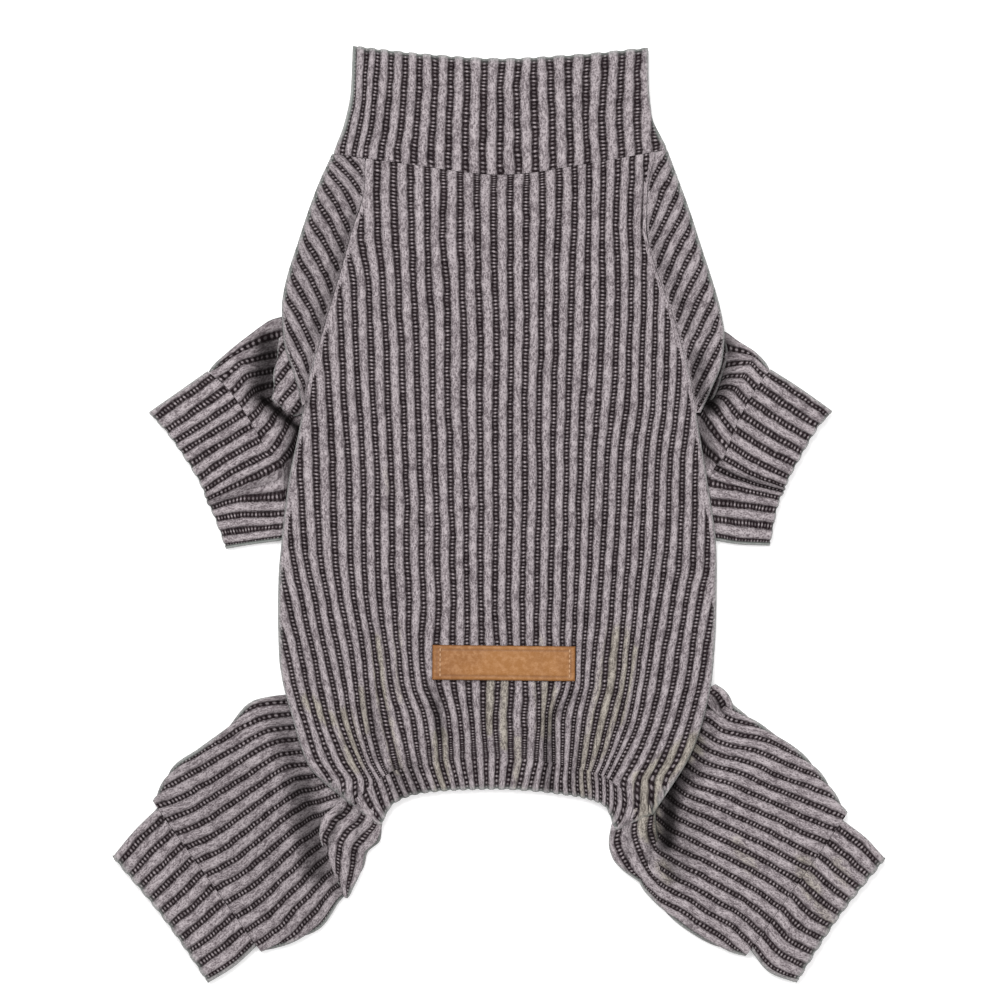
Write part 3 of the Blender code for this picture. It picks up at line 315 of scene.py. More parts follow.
# Belly panel: y, x left, x right
BELLY_ROWS = [
    (139.5, -69.5, 69.5), (114, -78.5, 78.5), (93, -83.5, 85), (88, -77.8, 80.8),
    (45, -75.8, 75.3), (-1, -71.2, 71.2), (-18, -71.2, 71.2), (-27, -87.4, 86.3),
    (-61, -87.3, 85.2), (-70, -84, 82.5), (-76.5, -72, 70), (-98, -62, 60.3),
    (-113, -56, 54.3),
]
BELLY_NECK = (-64.5, 64)
BELLY_PITCH = 6.3
BELLY_ROW_STEP = 4.0
BELLY_SIDE = 0.4          # least distance of a column from a side
BELLY_SIDE_RISE = 0.2     # height of the sides' lower edges

# Largest folds of each piece: x, y, x, y, height (a trough is negative), half width
BODY_FOLDS = [
    (-25.8, -79, -24.6, -93, -1.15, 2.8),
    (-24.6, -98, -23, -118, -0.8, 2.8),
    (-31, -78, -30, -100, 0.6, 3),
    (-36, -107, -34, -120, -0.8, 2.8),
    (-44, -88, -52, -112, -0.7, 4),
    (30.5, -75, 21, -87, -1, 2.6),
    (21, -87, 20.5, -119, -1.1, 2.7),
    (38, -78, 33, -102, -0.8, 3.2),
    (35, -106, 33, -121, -0.6, 2.6),
    (58, -88, 48, -112, 0.5, 4),
    (-6, -84, -6, -116, -0.45, 3.6),
    (-13, -103, -13, -116, 0.3, 2.2),
    (8, -103, 8, -116, 0.3, 2.2),
    (-27, -103.6, -1, -101.9, -0.3, 1.3),
    (-1, -101.9, 34, -106.4, -0.3, 1.3),
    (-20, 60, -22, 20, 0.25, 9),
    (30, 20, 26, -40, -0.25, 8),
    (-60, 40, -66, -20, -0.25, 8),
    (62, 90, 70, 40, 0.25, 7),
]
LEG_LEFT_FOLDS = [
    (-76, -128, -65, -160, -0.9, 4),
    (-60, -140, -62, -152, 0.4, 5),
]
LEG_RIGHT_FOLDS = [
    (66, -122, 60, -150, -0.9, 4),
    (57, -142, 62, -152, 0.4, 5),
]

CROTCH_FOLDS = [
    (-66.4, -124.3, -71.8, -139, -0.7, 1.9),
    (-58, -126, -61, -146, -0.5, 1.7),
    (-62, -124, -66, -142, 0.3, 1.8),
    (63.4, -134, 63, -147, -0.6, 1.9),
    (54, -130, 54.5, -144, -0.5, 1.8),
    (-75, -128, -60, -133, 0.25, 3),
]

# Folded-over cloth that lies on a sleeve or a leg: x, y and rib of the left side, the middle and
# the right side of each section. The ribs of the underarm patches run aslant.
UNDERARM_LEFT_ROWS = [
    (-92.4, 73.9, -0.57, -90.3, 75.2, -0.4, -88.2, 76, -0.25),
    (-93.7, 68, -0.19, -90.3, 68.5, 0.2, -86.9, 68.9, 0.55),
    (-94.5, 61.3, 0.32, -88, 61.9, 1.05, -81, 62.5, 1.85),
    (-95.3, 54.6, 0.83, -87.6, 55.7, 1.7, -80, 56.8, 2.5),
    (-95.8, 49.1, 1.27, -87.8, 49.8, 2.2, -79.6, 50.7, 3.1),
    (-92, 44.5, 2.15, -85.8, 45.5, 2.85, -79.6, 46.4, 3.5),
    (-87.4, 40.3, 3.1, -83.6, 41.6, 3.4, -79.8, 42.8, 3.78),
]
UNDERARM_RIGHT_ROWS = [
    (90.3, 77.3, 0.3, 92.4, 76.9, 0.7, 94.5, 76.4, 1.1),
    (91.1, 69.7, 0.3, 93.7, 68.9, 0.8, 96.2, 68, 1.4),
    (88.6, 61.3, 0.3, 91.6, 60.1, 0.9, 94.1, 59.2, 1.5),
    (85.7, 52.9, 0.3, 88.6, 51.7, 0.9, 91.1, 50.4, 1.4),
    (84, 46.2, 0.4, 85.7, 45.4, 0.8, 87.4, 44.5, 1.2),
]
CROTCH_LEFT_ROWS = [
    (-65.9, -115.9, 0.3, -57.5, -121.4, 1.7, -48.3, -127.7, 3.9),
    (-69.3, -121.8, 0.1, -60.1, -126.8, 1.6, -48.7, -132.3, 4),
    (-75.2, -128.1, 0.1, -64.7, -132.3, 1.8, -49.6, -137.3, 4.2),
    (-75.6, -135.2, 0.5, -67.6, -139, 1.9, -55, -142.4, 4.2),
    (-73.1, -142.4, 0.8, -66.4, -145.7, 2.2, -56.3, -148.3, 4.1),
    (-70.6, -148.3, 1.2, -65.5, -150.8, 2.4, -58.4, -152.5, 3.9),
    (-68, -154.6, 1.6, -65.1, -156.2, 2.6, -61.3, -157.5, 3.6),
    (-65.5, -160.4, 2.1, -64.3, -161.3, 2.6, -63, -161.7, 3),
]
CROTCH_RIGHT_ROWS = [
    (49.6, -126, 1, 57.5, -123.5, 2.6, 65.9, -121, 4.2),
    (46.2, -131.9, 1, 55.9, -129.4, 2.8, 65.9, -127.7, 4.4),
    (45.8, -138.2, 1.2, 56.7, -134.4, 3, 66.4, -132.3, 4.5),
    (47, -144.1, 1.1, 58.4, -139.9, 3, 67.2, -137.8, 4.4),
    (51.7, -149.5, 1.3, 60.5, -145.7, 3, 68, -143.6, 4.2),
    (57.5, -153.7, 1.6, 63.8, -150.8, 3, 70.1, -148.7, 4),
    (63.4, -157.9, 1.9, 68, -155, 3, 72.7, -153.3, 3.7),
    (68.9, -161.7, 2.4, 71, -159.6, 3, 73.5, -157.9, 3.3),
]
HIP_BUMP_ROWS = [
    (83.6, -75.6, 0.2, 87.4, -73.5, 0.9, 91.1, -71.4, 1.6),
    (86.9, -80.2, 0.1, 91.1, -76.9, 0.9, 95.3, -73.9, 1.8),
    (90.7, -84, 0.2, 94.5, -81.1, 1, 97.9, -78.1, 1.8),
    (94.9, -86.9, 0.4, 97, -85.3, 0.9, 99.1, -83.2, 1.5),
]
UNDERARM_RIB_SLOPE = 53.0

# Beige tints of the cloth, and painted shade in its creases, pits and some broad patches: x, y, x,
# y, strength, half width
TINTS = [
    (-51.7, -52.9, -49.1, -78.1, 0.8, 2.5),
    (-49.1, -78.1, -42.4, -107.5, 0.5, 3),
    (-24.8, -92.8, -23.9, -115.9, 0.8, 3.6),
    (-3.8, -70.6, -4.6, -90.7, 0.7, 3),
    (2.5, -70.6, 2.5, -97, 0.7, 2.5),
    (7.6, -94.9, 8, -115.9, 0.5, 2.5),
    (16.4, -70.6, 17.2, -78.1, 0.5, 3),
    (20.6, -73.9, 19.3, -90.7, 0.7, 4.2),
    (48.7, -52.9, 42.4, -92.8, 0.8, 4.2),
    (55.9, -57.1, 50, -86.5, 0.7, 3),
    (37.4, -94.9, 35.7, -115.9, 0.6, 4.2),
    (-80.2, -78.1, -71, -86.5, 0.7, 3.6),
    (-64.7, -84.4, -60.1, -105.4, 0.7, 4.2),
    (-58.4, -73.9, -55.9, -90.7, 0.6, 2.5),
    (59.2, -111.7, 80.2, -99.1, 0.8, 4.2),
    (61.3, -113.8, 63.4, -132.7, 0.9, 5.5),
    (68.5, -147.4, 71, -152.9, 0.5, 3.6),
    (99.1, -137.8, 106.3, -148.7, 0.4, 3.6),
    (127.7, -146.2, 131.5, -158.8, 0.5, 4.9),
    (141.1, -146.2, 145.3, -153.7, 0.4, 3.6),
    (134.8, -164.2, 139.9, -174.7, 0.4, 3.6),
    (-42.8, -46.6, -41.6, -78.1, 0.35, 2.5),
    (-46.6, 18.5, -44.9, 5.9, 0.3, 3),
    (81, -97, 62.5, -112, 0.9, 5.6),
    (62.5, -112, 62, -131, 0.9, 4.8),
    (50, -52, 41, -98, 0.7, 6),
    (17.2, -52.9, 20.6, -78.1, 0.4, 2.5),
]
FRONT_SHADES = [
    (-25.8, -79, -24.6, -92.8, 0.55, 2.2),
    (-29, -72, -26.4, -82, 0.32, 2.6),
    (-36.5, -106.7, -34, -118, 0.36, 3.2),
    (-43.3, -107.5, -40.7, -118, 0.36, 3.6),
    (-54, -78, -50.8, -100, 0.27, 3.4),
    (31.5, -76, 21, -86, 0.32, 2.4),
    (21, -86, 20.6, -114, 0.45, 2.6),
    (34, -98, 30, -114, 0.23, 3),
    (-66.4, -124.3, -71.8, -139, 0.5, 1.9),
    (-58, -126, -61, -146, 0.32, 1.6),
    (-68, -117, -61, -124.5, 0.3, 2),
    (63.4, -134, 63, -147, 0.35, 2.1),
    (54, -130, 54.5, -144, 0.3, 1.7),
    (66.4, -125, 66.6, -138, 0.8, 1.3),
    (64, -121.5, 65.5, -126, 0.4, 1.6),
    (90, -78.5, 94.5, -82, 0.5, 2.4),
    (88.8, 54, 87.2, 46, 0.9, 3.2),
    (95, 74, 89.5, 52, 0.7, 4.4),
    (-86.4, 41, -81, 47, 0.6, 2.4),
]
CAP_SHADES = [
    (-62, 138, -86, 75, 0.14, 16),
    (66, 138, 88, 75, 0.06, 16),
    (-59.6, 125.6, -76, 77.3, 0.46, 5.4),
    (-79.4, 66.4, -81.9, 50, 0.4, 3),
    (63, 121, 80.2, 77.3, 0.26, 4),
    (83.2, 66, 84.6, 50, 0.6, 4),
]
LIMB_SHADES = [
    (-122, -112, -82, -150, 0.14, 34),
    (-96.6, 70, -99.5, 51.5, 0.88, 7.4),
    (-99.5, 48.7, -83.6, 35.3, 0.98, 2.6),
    (-95, 45.5, -85, 36, 0.58, 6),
    (-84.8, 35.3, -87.4, 16.4, 0.74, 4.8),
    (-104, 76, -95, 78, 0.3, 6),
    (-121.8, 4.2, -89.9, 16.8, 0.4, 1.8),
    (91.1, 61.5, 88.4, 46, 0.98, 5.6),
    (93.7, 72, 91.1, 52, 0.64, 7.2),
    (85.3, 43.7, 87.4, 24.8, 0.62, 4),
    (120.1, 9.7, 93.7, 18.1, 0.4, 1.8),
    (91, 25, 93, 19, 0.35, 2.4),
    (-91, -88, -85.5, -111.7, 0.5, 6.6),
    (-83.6, -113.8, -76.4, -148.7, 0.72, 7.6),
    (-71, -152, -68, -158, 0.4, 3.6),
    (-93, -76.5, -86, -80, 0.45, 3),
    (84.4, -92, 80.5, -108, 0.45, 6.4),
    (79, -108, 73, -118, 0.8, 5),
    (73, -112, 70.6, -138, 0.94, 5.2),
    (76.4, -112, 76, -142, 0.3, 9),
    (70.5, -142, 74, -152, 0.5, 3.6),
    (84, -76, 92, -82, 0.4, 3.4),
]

# Smooth bands beside the edges: y, width on the left and on the right
BACK_BANDS = [
    (-120.0, 2.6, 2.6), (0.0, 3.4, 3.4), (36.0, 2.6, 2.6), (52.0, 1.5, 1.5), (150.0, 1.3, 1.3),
]
CAP_BANDS = [(40.0, 1.8, 0.6), (86.0, 1.8, 0.6), (94.0, 0.2, 0.6), (150.0, 0.2, 0.6)]
HEM_BANDS = [(-134.0, 2.0, 2.0), (-100.0, 2.0, 2.0)]

# Mesh steps
CURVE_STEPS = 120
ROW_STEP = 2.0            # longest distance between two sections
LEAST_ROW_STEP = 0.5
SEAM_ROWS = (0.0, 0.4, 0.9, 1.4, SEAM_REACH)        # distances of sections from a seam
FOLD_ROWS = (0.0, 0.04, 0.14, 0.3, 0.55, 0.9)       # and from a folded edge
RIB_STEPS = (
    0.0, 0.08, 0.16, 0.195, 0.22, 0.26, 0.32, 0.4, 0.5, 0.6, 0.68, 0.74, 0.78, 0.805, 0.84, 0.92,
)
LOWER_RIB_STEPS = (0.0, 0.19, 0.23, 0.32, 0.5, 0.68, 0.77, 0.81)

# Colours, linear
RIB_DARK = (0.112, 0.092, 0.1, 1.0)
RIB_LIGHT = (0.412, 0.366, 0.38, 1.0)
BEIGE_DARK = (0.115, 0.1, 0.082, 1.0)
BEIGE_LIGHT = (0.392, 0.357, 0.30, 1.0)
# Grooves: painted shade of their deep recesses, while the stitches in them keep the cloth's grey
PAINTED_GROOVE_SHADE_DARK = (0.007, 0.004, 0.005, 1.0)
PAINTED_GROOVE_SHADE_PALE = (0.022, 0.015, 0.017, 1.0)
BEAD = (0.29, 0.252, 0.263, 1.0)
# Painted rim light, lighter and cooler, on edges that turn down
PAINTED_RIM_LIGHT = (0.31, 0.34, 0.32, 1.0)
# Painted shade that darkens the creases and pits
PAINTED_PIT_SHADE = (0.0015, 0.001, 0.001, 1.0)
LEATHER_DARK = (0.18, 0.063, 0.01, 1.0)
LEATHER = (0.265, 0.106, 0.02, 1.0)
LEATHER_LIGHT = (0.42, 0.208, 0.082, 1.0)
LEATHER_PRESSED = (0.11, 0.04, 0.014, 1.0)
THREAD = (0.43, 0.25, 0.135, 1.0)

# Light and camera
WHITE = (1.0, 1.0, 1.0, 1.0)
FLOOR_COLOUR = (0.92, 0.92, 0.92, 1.0)
FLOOR_LEVEL = -0.0004     # metres
FLOOR_GLOW = 0.3          # a lit table, so that the shadows round the garment stay faint
SURROUND_LIGHT = 0.55
LIGHTS = [  # name, place and size in metres, power
    ("key", (-0.35, 0.6, 1.6), 0.8, 27.0),
    ("fill", (0.9, -0.3, 1.6), 1.2, 9.0),
]
PHOTO_PIXEL = 0.42        # width of one pixel of the view on the table
VIEW_PIXELS = 1000
VIEW_CENTRE = (0.42, 5.88)
CAMERA_HEIGHT = 3000.0
CAMERA_SENSOR = 36.0

# Sleeves and legs: side, rows, rows of the cuff, ribs at the seam or folds, seed
SLEEVES = [
    ("left", SLEEVE_LEFT_ROWS, SLEEVE_CUFF_LEFT_ROWS, SLEEVE_LEFT_SEAM_RIBS, 51),
    ("right", SLEEVE_RIGHT_ROWS, SLEEVE_CUFF_RIGHT_ROWS, SLEEVE_RIGHT_SEAM_RIBS, 53),
]
LEGS = [
    ("left", LEG_LEFT_ROWS, LEG_CUFF_LEFT_ROWS, LEG_LEFT_FOLDS, 61),
    ("right", LEG_RIGHT_ROWS, LEG_CUFF_RIGHT_ROWS, LEG_RIGHT_FOLDS, 63),
]

# Patches: node that each is part of, name, rows, heights, edges, seed, slope of its ribs, folds
PATCHES = [
    ("sleeve_left", "underarm_left", UNDERARM_LEFT_ROWS, (5.2, 6.0, 6.0), (TURNED_EDGE, SEAM_EDGE),
     71, UNDERARM_RIB_SLOPE, ()),
    ("sleeve_right", "underarm_right", UNDERARM_RIGHT_ROWS, (6.2, 6.0, 5.0),
     (SEAM_EDGE, TURNED_EDGE), 73, None, ()),
    ("leg_left", "crotch_left", CROTCH_LEFT_ROWS, (5.6, 7.6, 7.0), (TURNED_EDGE, CROTCH_EDGE),
     75, None, CROTCH_FOLDS),
    ("leg_right", "crotch_right", CROTCH_RIGHT_ROWS, (7.0, 7.6, 5.6), (CROTCH_EDGE, TURNED_EDGE),
     77, None, CROTCH_FOLDS),
    ("leg_right", "hip_bump", HIP_BUMP_ROWS, (5.6, 7.0, 6.4), (TURNED_EDGE, BUMP_EDGE),
     79, None, ()),
]


def grain(x, y, seed):
    """Smooth noise from -1 to 1 with cells of one unit."""
    x0, y0 = np.floor(x), np.floor(y)
    fx, fy = x - x0, y - y0
    fx, fy = fx * fx * (3 - 2 * fx), fy * fy * (3 - 2 * fy)

    def corner(i, j):
        mixed = np.sin((x0 + i) * 127.1 + (y0 + j) * 311.7 + seed * 74.7) * 43758.5453
        return 2.0 * (mixed - np.floor(mixed)) - 1.0

    low = corner(0, 0) * (1 - fx) + corner(1, 0) * fx
    high = corner(0, 1) * (1 - fx) + corner(1, 1) * fx
    return low * (1 - fy) + high * fy


def step_between(value, low, high):
    f = np.clip((value - low) / (high - low), 0.0, 1.0)
    return f * f * (3.0 - 2.0 * f)


def extended(at, places, values):
    """Values between the places, which go on at the same slope beyond the first and the last."""
    first = (values[1] - values[0]) / (places[1] - places[0])
    last = (values[-1] - values[-2]) / (places[-1] - places[-2])
    inside = np.interp(at, places, values)
    beyond = np.minimum(at - places[0], 0.0) * first + np.maximum(at - places[-1], 0.0) * last
    return inside + beyond


def shares(places):
    """The places as shares of the way from the first to the last."""
    return (places - places[0]) / (places[-1] - places[0])


def curve_through(values, at, where):
    """Smooth values at the places `where`, through one row of `values` at each place of `at`.

    The slope at a row is the harmonic mean of its two sides, so that nothing overshoots a row.
    """
    values, at = np.asarray(values, float), np.asarray(at, float)
    flat = values.reshape(len(at), -1)
    rise = np.diff(flat, axis=0) / np.diff(at)[:, None]
    before, after = rise[:-1], rise[1:]
    same_way = before * after > 0
    mean = 2 * before * after / np.where(same_way, before + after, 1.0)
    slopes = np.vstack([rise[:1], np.where(same_way, mean, 0.0), rise[-1:]])
    where = np.clip(np.atleast_1d(np.asarray(where, float)), at[0], at[-1])
    span = np.clip(np.searchsorted(at, where, side="right") - 1, 0, len(at) - 2)
    width = (at[span + 1] - at[span])[:, None]
    f = (where - at[span])[:, None] / width
    start = flat[span] * (2 * f**3 - 3 * f**2 + 1) + slopes[span] * width * (f**3 - 2 * f**2 + f)
    stop = flat[span + 1] * (3 * f**2 - 2 * f**3) + slopes[span + 1] * width * (f**3 - f**2)
    return (start + stop).reshape((len(where),) + values.shape[1:])


def lengths_along(points):
    steps = np.hypot(*np.diff(np.asarray(points, float), axis=0).T)
    return np.concatenate([[0.0], np.cumsum(steps)])


def away_from(x0, y0, x1, y1, xy):
    """Distance of the plan points from a stroke."""
    start = np.array([x0, y0])
    run = np.array([x1, y1]) - start
    along = np.clip((xy - start) @ run / (run @ run), 0.0, 1.0)
    return np.hypot(*(xy - start - along[:, None] * run).T)


def fold_height(folds, xy):
    """Height that the folds add at the plan points."""
    total = np.zeros(len(xy))
    for *stroke, height, half_width in folds:
        total += height * np.exp(-((away_from(*stroke, xy) / half_width) ** 2))
    return total


def blots(table, xy):
    """Strongest of the soft strokes of `table` at the plan points."""
    strongest = np.zeros(len(xy))
    for *stroke, strength, half_width in table:
        away = away_from(*stroke, xy) / half_width
        strongest = np.maximum(strongest, strength * np.exp(-(away**3)))
    return strongest


def rib_from_course(course, lines, xy):
    """Rib number at plan points, from the x of some grooves at several y."""
    course = np.array(course)[::-1]
    grooves = curve_through(course[:, 1:], course[:, 0], xy[:, 1])
    return np.array([extended(x, row, lines) for x, row in zip(xy[:, 0], grooves)])


def back_rib(xy):
    return rib_from_course(RIB_COURSE, RIB_LINES, xy)


def collar_rib(xy):
    return rib_from_course(COLLAR_COURSE, COLLAR_LINES, xy)


def section(points, ribs, heights, left, right):
    """One section as numbers: plan points, ribs and heights there, and the two edges."""
    return np.concatenate([np.ravel(points), ribs, heights, left, right]).astype(float)


def section_parts(numbers):
    """The plan points, ribs, heights, left edge and right edge that `section` packed."""
    count = (len(numbers) - 4) // 4
    points = numbers[: 2 * count].reshape(-1, 2)
    ribs, heights = numbers[2 * count : 3 * count], numbers[3 * count : 4 * count]
    return points, ribs, heights, numbers[-4:-2], numbers[-2:]


class Profile:
    """A section's line from edge to edge: over the top, and round each side as far as it turns.

    Places along the line count from where the left side starts to turn down. The top ends at
    `flat`, and the cloth reaches from `first` to `last`.
    """

    def __init__(self, numbers, folds, rib_field=None):
        points, ribs, heights, *edges = section_parts(numbers)
        marks = lengths_along(points)
        self.plan = curve_through(points, marks, np.linspace(0.0, marks[-1], CURVE_STEPS))
        self.plan_at = lengths_along(self.plan)
        width = self.plan_at[-1]
        radius, turn = np.array(edges).T
        turn = np.radians(turn)
        down = np.minimum(turn, QUARTER_TURN)
        radius = radius * min(1.0, FULLEST_SIDES * width / (radius @ np.sin(down)))
        left_reach, right_reach = radius * np.sin(down)
        self.folds, self.radius, self.start = folds, radius, left_reach
        self.flat = width - right_reach - left_reach
        self.first, self.last = -turn[0] * radius[0], self.flat + turn[1] * radius[1]
        at = marks * width / marks[-1]
        self.height_at, self.heights = at, heights
        if rib_field:
            inner = np.linspace(left_reach, width - right_reach, CURVE_STEPS)
            at = np.concatenate([[0.0], inner, [width]])
            ribs = rib_field(self.at_plan(at))
        places = at - self.start
        places[0], places[-1] = -down[0] * radius[0], self.flat + down[1] * radius[1]
        if not rib_field:
            dense = np.linspace(places[0], places[-1], CURVE_STEPS)
            places, ribs = dense, curve_through(ribs, places, dense)
        self.rib_places, self.ribs = places, ribs

    def at_plan(self, at):
        return np.column_stack([np.interp(at, self.plan_at, line) for line in self.plan.T])

    def rib_at(self, along):
        return extended(along, self.rib_places, self.ribs)

    def place_of(self, ribs):
        guess = np.linspace(self.first, self.last, 600)
        return np.interp(ribs, self.rib_at(guess), guess)

    def columns(self, steps):
        """Rib numbers of the columns from edge to edge, with the same steps in every rib."""
        low, high = self.rib_at(np.array([self.first, self.last]))
        ribs = [n + s for n in range(math.floor(low) - 1, math.ceil(high) + 1) for s in steps]
        return np.array([low] + [rib for rib in ribs if low + 0.03 < rib < high - 0.03] + [high])

    def inner_places(self, count):
        """Wide columns of the inner side, which isn't seen."""
        turned = np.array([0.33, 0.66, 1.0])
        left, right = self.first * turned[::-1], self.flat + (self.last - self.flat) * turned
        return np.concatenate([left, np.linspace(0.0, self.flat, count), right])

    def groove_strength(self, along, bands):
        """Grooves fade out at the smooth bands beside the two edges."""
        y, *widths = np.array(bands).T
        inside = (along - self.rib_places[0], self.rib_places[-1] - along)
        strength = np.ones(len(along))
        for distance, width in zip(inside, widths):
            band = np.interp(self.plan[:, 1].mean(), y, width)
            strength *= step_between(distance, band, band + PLAIN_BLEND)
        return strength

    def turn(self, along):
        """How far the cloth has turned down there, in radians."""
        after = np.maximum(along - self.flat, 0.0)
        return np.maximum(-along, 0.0) / self.radius[0] + after / self.radius[1]

    def points(self, along, depth=0.0):
        """3-D points at `along`, each `depth` below the crests."""
        turn = self.turn(along)
        on_left = along < self.flat / 2
        radius = np.where(on_left, *self.radius)
        middle = self.start + np.clip(along, 0.0, self.flat)
        across = middle + np.where(on_left, -1.0, 1.0) * (radius - depth) * np.sin(turn)
        xy = self.at_plan(np.clip(across, 0.0, self.plan_at[-1]))
        base = np.interp(middle, self.height_at, self.heights)
        drop = radius - (radius - depth) * np.cos(turn)
        raised = fold_height(self.folds, xy) * np.maximum(np.cos(turn), 0.0)
        return np.column_stack([xy, base - drop + raised])


def rib_depth(rib):
    """Depth below the crests: a round rib between flat grooves, one groove at each whole rib."""
    away = np.abs(rib - np.round(rib))
    from_crest = np.clip(1.0 - (away - GROOVE_HALF_WIDTH) / (0.5 - GROOVE_HALF_WIDTH), 0.0, 1.0)
    return RIB_DEPTH * (1.0 - np.sqrt(1.0 - from_crest**2))


def scallop(rib):
    """How much a folded edge is drawn in there: fully at the grooves, and not at the crests."""
    return 1.0 - step_between(np.abs(rib - np.round(rib)), *SCALLOP_SPAN)


def end_dip(kind, distance, wall):
    """How far the crests sink towards an end: into a seam, or round a folded edge."""
    if kind == "seam":
        return SEAM_DIP * max(0.0, 1.0 - distance / SEAM_REACH) ** 2
    radius = 0.5 * wall
    if kind == "fold" and distance < radius:
        return FOLD_DROP * (radius - math.sqrt(radius**2 - (radius - distance) ** 2))
    return 0.0


def stations(at, ends, longest, wall):
    """Distances of the sections along a piece, with close ones at seams and folded edges."""
    near = {"seam": SEAM_ROWS, "fold": [*FOLD_ROWS, 0.5 * wall, wall], "plain": [0.0]}
    marks = [*near[ends[0]]] + [at[-1] - mark for mark in near[ends[1]]]
    marks += [row for row in at if min(abs(row - mark) for mark in marks) > LEAST_ROW_STEP]
    marks.sort()
    found = [marks[0]]
    for start, stop in zip(marks, marks[1:]):
        count = math.ceil((stop - start) / longest)
        found += list(np.linspace(start, stop, count + 1)[1:])
    return found


def strip(lower, lower_at, upper, upper_at):
    """Faces between two lines of vertex numbers, matched by their places."""
    faces, i, j = [], 0, 0
    last_i, last_j = len(lower) - 1, len(upper) - 1
    while i < last_i or j < last_j:
        both = i < last_i and j < last_j
        if both:
            a, b, c, d = lower_at[i], lower_at[i + 1], upper_at[j], upper_at[j + 1]
        if both and abs(a - c) + abs(b - d) < 1e-6:
            faces.append((lower[i], lower[i + 1], upper[j + 1], upper[j]))
            i, j = i + 1, j + 1
        elif j == last_j or (both and b + a <= d + c):
            faces.append((lower[i], lower[i + 1], upper[j]))
            i += 1
        else:
            faces.append((lower[i], upper[j + 1], upper[j]))
            j += 1
    return faces


class Shell:
    """Collects the points, faces and face coordinates of one closed wall.

    A row is a line of vertex numbers from edge to edge, with the place of each.
    """

    def __init__(self):
        self.points, self.coords, self.faces, self.count = [], [], [], 0

    def add(self, points, ribs, along, grooved=1.0, rim=0.0, tint=0.0, shade=0.0):
        """New points. Each value is one number for all of them, or one for each."""
        size = len(points)
        values = (ribs, along, grooved, rim, tint, shade)
        self.points.append(points)
        self.coords.append(np.column_stack([np.broadcast_to(value, size) for value in values]))
        self.count += size
        return list(range(self.count - size, self.count))

    def weave(self, rows):
        """Faces between each row and the next."""
        for (a, a_at), (b, b_at) in zip(rows, rows[1:]):
            self.faces += strip(a, a_at, b, b_at)

    def close_ends(self, outer, inner):
        """Faces between the two sides' first rows, and between their last ones."""
        for end in (0, -1):
            a, b = outer[end][0], inner[end][0]
            self.faces += [(a[i], a[i + 1], b[i + 1], b[i]) for i in range(len(a) - 1)]

    def close_edges(self, outer, inner):
        """Faces between the two sides along both edges."""
        for (a, _), (b, _), (c, _), (d, _) in zip(outer, outer[1:], inner[1:], inner):
            self.faces += [(a[end], b[end], c[end], d[end]) for end in (0, -1)]

    def make(self, name, look):
        mesh = bpy.data.meshes.new(name)
        points, coords = np.concatenate(self.points), np.concatenate(self.coords)
        mesh.from_pydata((points * MM).tolist(), [], self.faces)
        corners = np.empty(len(mesh.loops), np.int32)
        mesh.loops.foreach_get("vertex_index", corners)
        for layer_name, columns in (("rib", (0, 1)), ("edge", (2, 3)), ("tone", (4, 5))):
            layer = mesh.uv_layers.new(name=layer_name)
            layer.data.foreach_set("uv", coords[corners][:, columns].astype(np.float32).ravel())
        whole = bmesh.new()
        whole.from_mesh(mesh)
        bmesh.ops.remove_doubles(whole, verts=whole.verts, dist=1e-7)
        bmesh.ops.recalc_face_normals(whole, faces=whole.faces)
        if whole.calc_volume(signed=True) < 0:
            bmesh.ops.reverse_faces(whole, faces=whole.faces)
        whole.to_mesh(mesh)
        whole.free()
        mesh.shade_smooth()
        mesh.set_sharp_from_angle(angle=math.radians(60))
        mesh.materials.append(look)
        piece = bpy.data.objects.new(name, mesh)
        bpy.context.scene.collection.objects.link(piece)
        return piece


def under_side(profile, across, height, drawn_in, upper):
    """A line of a tube's flat lower side, which starts and ends where the upper one does."""
    points = profile.points(across)
    points[:, 2] = height
    points[:, :2] += drawn_in
    points[[0, -1]] = upper[[-1, 0]]
    return points


